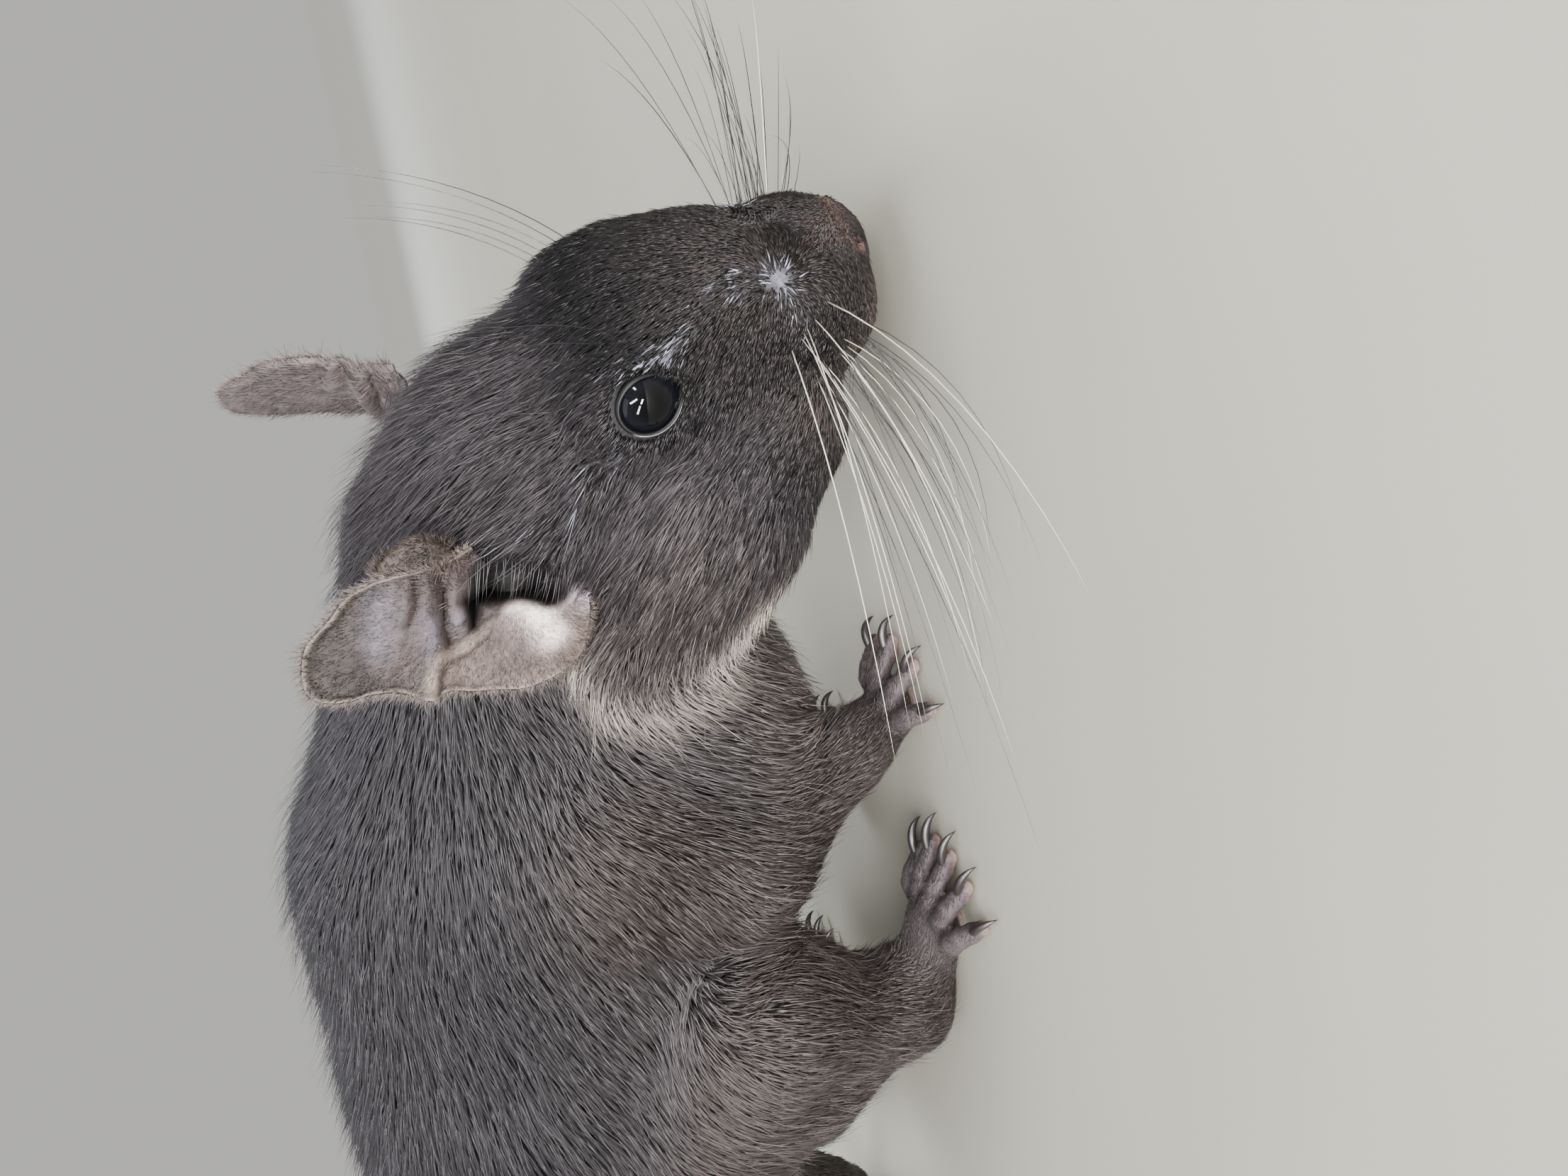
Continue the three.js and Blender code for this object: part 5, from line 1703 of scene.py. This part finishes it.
def ear_hair(side):
    pick = np.random.default_rng(40 + side)
    count = VELVET + FRINGE
    turn = pick.uniform(0.004, 0.99, count)
    fringe = np.arange(count) >= VELVET
    share_out = np.where(fringe, 0.995, np.sqrt(pick.uniform(0.05, 0.97, count)))
    front = pick.random(count) < 0.55
    spot, flat = ear_surface(side, turn, share_out)
    outwards = unit(ear_surface(side, turn, share_out + 0.01)[0] - spot)
    round_it = unit(ear_surface(side, np.minimum(turn + 0.004, 1), share_out)[0] - spot)
    normal = unit(np.cross(outwards, round_it))
    normal *= np.sign(normal @ head_way(*ear_axes(side)[2]))[:, None]
    face = np.where(fringe, pick.uniform(-0.6, 0.6, count), np.where(front, 1.0, -1.0))[:, None]
    way = unit(outwards + round_it * (0.45 * pick.normal(size=count))[:, None])
    fringe_length = pick.uniform(*FRINGE_LENGTH, count)
    front_length = pick.uniform(*FRONT_LENGTH, count)
    back_length = pick.uniform(*BACK_LENGTH, count)
    length = np.where(fringe, fringe_length, np.where(front, front_length, back_length))
    half = EAR_THICKNESS / 2 * thinner(share_out)
    root = spot + normal * face * (half * 0.7)[:, None]
    tip = root + way * length[:, None] + normal * face * (0.05 + 0.16 * length)[:, None]
    middle = (root + tip) / 2 + normal * face * (0.08 * length)[:, None]
    # The front velvet takes the ear's colours, painted highlights and painted shade included.
    colours = ear_colours(flat, share_out) * 1.25
    colours = np.where(front[:, None], colours, linear(EAR["back"]))
    colours = np.where(fringe[:, None], linear(FRINGE_COLOUR), colours)
    shade_of = 0.45 + 0.25 * pick.normal(size=count)
    keep = fringe | (canal_away(flat) > 0.6) | ~front
    spots = [row[keep] for row in (root, middle, tip)]
    places = np.stack([turn, share_out], axis=1)
    widths = np.where(fringe, 0.06, 0.08)
    hair_piece("ear_velvet_" + SIDES[side], LOCK, spots, widths[keep], normal[keep], 0.5, colours[keep],
               shade_of[keep], places[keep])


# %% Lashes over the canal
def crossing(outside, inside, depth):
    """Where the way from outside to inside comes to this depth in the body."""
    outside, inside = np.array(outside, float), np.array(inside, float)
    low, high = np.zeros(len(outside)), np.ones(len(outside))
    for _ in range(14):
        middle = (low + high) / 2
        deeper = body_field(outside + (inside - outside) * middle[:, None]) < -depth
        low, high = np.where(deeper, low, middle), np.where(deeper, middle, high)
    return outside + (inside - outside) * low[:, None]


LASH_ROOTS = [(3.4, -4.9), (1.4, -4.4), (-0.8, -3.4), (-2.8, -2.2), (-4.8, -0.9)]
LASH_TIPS = [(4.1, 1.8), (2.9, 1.9), (1.0, 1.3), (-1.4, 1.9), (-4.0, 3.0)]
LASHES, LASH_ARCH, LASH_COLOUR = 30, 1.4, "#3b383c"


def lashes(side):
    pick = np.random.default_rng(60 + side)
    share = (np.arange(LASHES) + pick.uniform(-0.35, 0.35, LASHES)).clip(0, LASHES - 1) / (LASHES - 1)
    start_flat = curve_at(LASH_ROOTS, share)
    end_flat = curve_at(LASH_TIPS, share) + pick.normal(size=(LASHES, 2)) * 0.35
    far, deep = np.full(LASHES, 7.0), np.full(LASHES, -6.0)
    root = crossing(ear_points(side, start_flat, far), ear_points(side, start_flat, deep), 1.2)
    out_way = head_way(*ear_axes(side)[2])
    lifted = np.einsum("nk,k->n", root - ear_points(side, start_flat, 0 * far), out_way)
    end_out = ear_height(end_flat, np.full(LASHES, 0.3)).clip(-1.5, 3) + pick.uniform(0.3, 0.8, LASHES)
    tip = ear_points(side, end_flat, end_out)
    middle = ear_points(side, (start_flat + end_flat) / 2, (lifted + end_out) / 2 + LASH_ARCH)
    hair_piece("ear_lashes_" + SIDES[side], BRISTLE, (root, middle, tip), pick.uniform(0.1, 0.15, LASHES),
               np.tile(out_way, (LASHES, 1)), 0.8, plain(LASH_COLOUR, LASHES),
               pick.uniform(0.1, 0.9, LASHES), rows_of_patches(LASHES))


# %% The lump at the ear's root
LUMP_PLACE, LUMP_HALF, LUMP_BEND = (8.0, -4.6), (3.6, 1.6, 1.2), 0.07
LUMP_SUNK = 1.1  # how far the lump's middle lies under the plane of the ear
LUMP_HAIRS = 2000


def ear_lump(side):
    """The furry lump where the ear's front edge meets the head: a squashed ball and its short hair."""
    bpy.ops.object.select_all(action="DESELECT")
    bpy.ops.mesh.primitive_ico_sphere_add(subdivisions=5, radius=1, location=(0, 0, 0))
    lump = named("ear_root_" + SIDES[side])

    def place(ball):
        along = LUMP_HALF[0] * ball[:, 0]
        across = LUMP_PLACE[1] + LUMP_HALF[1] * ball[:, 1] + LUMP_BEND * along**2
        flat = np.stack([LUMP_PLACE[0] + along, across], axis=1)
        return ear_points(side, flat, LUMP_HALF[2] * ball[:, 2] - LUMP_SUNK), flat

    def tone(flat):
        oval = np.exp(-(((flat[:, 0] - 7.6) / 1.9) ** 2 + ((flat[:, 1] + 4.7) / 0.75) ** 2))
        return mix(plain("#4a403c", len(flat)), "#2a2321", 0.85 * oval)

    points, flat = place(raw_corners(lump))
    move_corners(lump, points)
    turn_outwards(lump)
    bpy.ops.object.shade_smooth()
    paint(lump, "tone", tone(flat))
    wear(lump, EAR_SKIN)
    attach(lump, "root")
    pick = np.random.default_rng(70 + side)
    ball = unit(pick.normal(size=(LUMP_HAIRS, 3)))
    root, flat = place(ball)
    outer = unit(place(ball * 1.1)[0] - root)
    along = head_way(*ear_axes(side)[0])
    way = along - (outer @ along)[:, None] * outer + 0.35 * pick.normal(size=(LUMP_HAIRS, 3))
    way = unit(way - (way * outer).sum(axis=1)[:, None] * outer)
    length = pick.uniform(0.8, 1.6, LUMP_HAIRS)[:, None]
    tip = root + way * length + outer * 0.22 * length
    middle = root + way * length * 0.5 + outer * 0.16 * length
    hair_piece("ear_root_hair_" + SIDES[side], LOCK, (root - outer * 0.1, middle, tip),
               np.full(LUMP_HAIRS, 0.1), outer, 0.5, tone(flat), 0.5 + 0.22 * pick.normal(size=LUMP_HAIRS),
               rows_of_patches(LUMP_HAIRS))


# %% Dress the ears
for side in SIDES:
    ear_hair(side)
    lashes(side)
ear_lump(RIGHT)  # on the other side the ear is laid flat and covers it
print("the ears have velvet, fringe and lashes")

# %% [markdown]
# ## Claws
#
# Each toe ends in a curved claw of dark horn, longer on the hind foot. The pattern of a long hair has the
# right form already, only thicker, so a claw is grown in the same way. Claws could be bent cones, one by
# one, but then each would need its own place and turn.

# %% Grow the claws
CLAW_WIDTH, CLAW_HEIGHT = 1.0, 1.15


def claws():
    spots = []
    for path, ahead, claw in TOES:
        end = path[-1]
        spots.append([end - 0.9 * ahead + [0, 0, 0.55], end + 0.55 * claw * ahead + [0, 0, 0.75],
                      end + claw * ahead + [0, 0, -0.75]])
    roots, middles, tips = np.array(spots).transpose(1, 0, 2)
    keep_above(0.3, tips)
    upright = np.tile([0, 0, 1.0], (len(roots), 1))
    widths = np.full(len(roots), CLAW_WIDTH)
    points, triangles = grow(hair_pattern(10, 9, 2.6), roots, middles, tips, widths, upright, CLAW_HEIGHT)
    return mesh_piece("claws", points, triangles)


# %% Claw horn
def make_horn():
    """Claw horn: near black, smooth and slightly glossy. Its fine grain is drawn 0.4 mm wide, to show."""
    material, tree, shader = new_material("claw_horn")
    place = node(tree, "ShaderNodeTexCoord", {}).outputs["Object"]
    grain = node(tree, "ShaderNodeTexNoise", {"Vector": place, "Scale": 1 / (0.4 * MM), "Detail": 3.0})
    colour = node(tree, "ShaderNodeMix", {"Factor": grain.outputs["Fac"], "A": rgba("#141114"),
                                          "B": rgba("#37302f")}, data_type="RGBA")
    fill(shader, {"Base Color": colour.outputs["Result"], "Roughness": 0.4})
    return material


claw_piece = claws()
wear(claw_piece, make_horn())
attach(claw_piece, "root")
print("claws:", len(TOES), "with", len(claw_piece.data.polygons), "triangles")

# %% [markdown]
# ## Whiskers and other long hairs
#
# Whiskers stand in rows on the muzzle and sweep back and down past the cheek. Many of those nearest to us
# are cream white, the rest dark. A few long dark hairs stand over each eye, fine ones under the chin, and
# the tail ends in a brush of coarse hair. All are long hairs with their own thickness, so they come from the
# same two patterns. They could be curves with a round profile, but one mesh for each group is lighter.

# %% Whisker material and the long hairs of the face
def make_whisker():
    """Whisker keratin: smooth and glossy, cream where it has no pigment."""
    material, tree, shader = new_material("whisker_keratin")
    tone = node(tree, "ShaderNodeAttribute", {}, attribute_name="tone").outputs["Color"]
    fill(shader, {"Base Color": tone, "Roughness": 0.28, "IOR": 1.55})
    return material


WHISKER = make_whisker()
WHISKER_DARK, WHISKER_CREAM = "#1d1a1a", "#ddd7c9"


def long_hairs(name, root, way, length, sag, low, widths, colours):
    """Long hairs as one mesh. They leave the skin along a way, sag towards the tip and clear the floor."""
    middle = root + way * length * 0.5 - 0.35 * sag
    tip = root + way * length + sag
    keep_above(low, middle, tip)
    count = len(root)
    piece = hair_piece(name, STRAND, (root, middle, tip), widths, np.tile([0.1, 0.2, 1.0], (count, 1)), 1.0,
                       colours, np.full(count, 0.42), rows_of_patches(count))
    wear(piece, WHISKER)


# %% Grow the whiskers
WHISKER_ROWS, WHISKERS_IN_ROW = 5, 7
PAD_FRONT, PAD_LENGTH, PAD_TOP, PAD_HEIGHT = 18.6, 4.4, -6.3, 4.2  # where they grow, in the head's axes
MUZZLE_REACH = 14  # further to the side than the muzzle goes
WHISKER_FANS = {
    RIGHT: {"forward": (0.12, -0.24), "upward": (-0.12, -0.5), "droop": 0.2, "longest": 50, "cream": 0.45},
    LEFT: {"forward": (0.5, 0.12), "upward": (0.35, -0.25), "droop": 0, "longest": 42, "cream": 0.12},
}


def from_to(pair, share):
    return pair[0] + (pair[1] - pair[0]) * share


def whiskers(side):
    pick = np.random.default_rng(20 + side)
    fan = WHISKER_FANS[side]
    count = WHISKER_ROWS * WHISKERS_IN_ROW
    down = np.repeat(np.linspace(0, 1, WHISKER_ROWS), WHISKERS_IN_ROW) + pick.uniform(-0.04, 0.04, count)
    back = np.tile(np.linspace(0, 1, WHISKERS_IN_ROW), WHISKER_ROWS) + pick.uniform(-0.05, 0.05, count)
    x, z = PAD_FRONT - PAD_LENGTH * back, PAD_TOP - PAD_HEIGHT * down
    rise = from_to(fan["upward"], down) - fan["droop"] * back + 0.05 * pick.normal(size=count)
    run = from_to(fan["forward"], back) + 0.1 * pick.normal(size=count)
    way = unit(np.stack([run, np.full(count, side * 0.92), rise], axis=1)) @ HEAD_TURN.T
    short = from_to((from_to((0.72, 1), back), from_to((0.45, 0.85), back)), down)
    length = fan["longest"] * short * pick.uniform(0.72, 1.02, count)
    outside = from_head(np.stack([x, np.full(count, side * MUZZLE_REACH), z], axis=1))
    inside = from_head(np.stack([x, np.zeros(count), z], axis=1))
    root = crossing(outside, inside, 0.9)
    sag = head_way(-0.2, 0, -0.25) * (length * 0.12)[:, None]
    cream = (pick.random(count) < fan["cream"]).astype(float)
    colours = mix(plain(WHISKER_DARK, count), WHISKER_CREAM, cream)
    widths = np.where(cream > 0, 0.115, 0.09) * pick.uniform(0.8, 1.2, count)
    long_hairs("whiskers_" + SIDES[side], root, way, length[:, None], sag, 1.6, widths, colours)


for side in SIDES:
    whiskers(side)
print("whiskers on each side:", WHISKER_ROWS * WHISKERS_IN_ROW)


# %% Brow and chin hairs
BROW_HAIRS, CHIN_HAIRS = 6, 22


def rows(*columns):
    return np.stack(columns, axis=1)


def face_hairs(side):
    pick = np.random.default_rng(30 + side)
    flip = np.array([1, side, 1])
    count = BROW_HAIRS + CHIN_HAIRS
    k, chin = np.arange(BROW_HAIRS), np.ones(CHIN_HAIRS)
    outside = np.vstack([
        rows(5 - 0.9 * k, 6 + 0.4 * k, 14 + 0 * k),
        rows(pick.uniform(6, 18, CHIN_HAIRS), pick.uniform(1, 7, CHIN_HAIRS), -30 * chin),
    ])
    inside = outside * [1, 1, 0] + [0, 0, -6]
    way = np.vstack([
        rows(-0.35 - 0.08 * k, 0.25 + 0.12 * k, 1 + 0 * k),
        rows(pick.uniform(-0.7, 0, CHIN_HAIRS), pick.uniform(0.1, 0.6, CHIN_HAIRS), -0.5 * chin),
    ])
    length = np.concatenate([pick.uniform(14, 23, BROW_HAIRS), pick.uniform(4, 9, CHIN_HAIRS)])[:, None]
    root = crossing(from_head(outside * flip), from_head(inside * flip), 0.8)
    way = unit(way * flip) @ HEAD_TURN.T
    sag = head_way(-0.5, 0, -0.2) * length * 0.1
    long_hairs("brow_and_chin_hairs_" + SIDES[side], root, way, length, sag, 0.5, np.full(count, 0.09),
               plain(WHISKER_DARK, count))


for side in SIDES:
    face_hairs(side)
print("brow hairs", BROW_HAIRS, "and chin hairs", CHIN_HAIRS, "on each side")

# %% The brush of the tail
BRUSH_HAIRS, BRUSH_TOP = 1500, 7.4
pick = np.random.default_rng(50)
share = 1 - (TAIL_BRUSH / TAIL_LENGTH) * pick.uniform(0, 1, BRUSH_HAIRS) ** 0.8
base = curve_at(TAIL_POINTS, share)
ahead = unit(curve_at(TAIL_POINTS, np.minimum(share + 0.01, 1)) - curve_at(TAIL_POINTS, share - 0.01))
around = pick.uniform(0, 2 * math.pi, BRUSH_HAIRS)
across = unit(np.cross(ahead, [0, 0, 1]))
outer = across * np.cos(around)[:, None] + np.cross(across, ahead) * np.sin(around)[:, None]
spread = pick.uniform(0.1, 0.5, BRUSH_HAIRS)[:, None]
length = pick.uniform(8, 14, BRUSH_HAIRS)[:, None]
root = base + outer * (tail_radius(share) * 0.8)[:, None]
middle = root + unit(ahead + outer * spread * 1.3) * length * 0.5
tip = root + unit(ahead + outer * spread) * length
for spots in (root, middle, tip):
    spots[:, 2] = spots[:, 2].clip(0.25, BRUSH_TOP)
hair_piece("tail_brush_hair", BRISTLE, (root, middle, tip), np.full(BRUSH_HAIRS, 0.2), outer, 0.7,
           plain(COAT["brush"], BRUSH_HAIRS), 0.5 + 0.2 * pick.normal(size=BRUSH_HAIRS),
           rows_of_patches(BRUSH_HAIRS))
print("the brush has", BRUSH_HAIRS, "hairs")
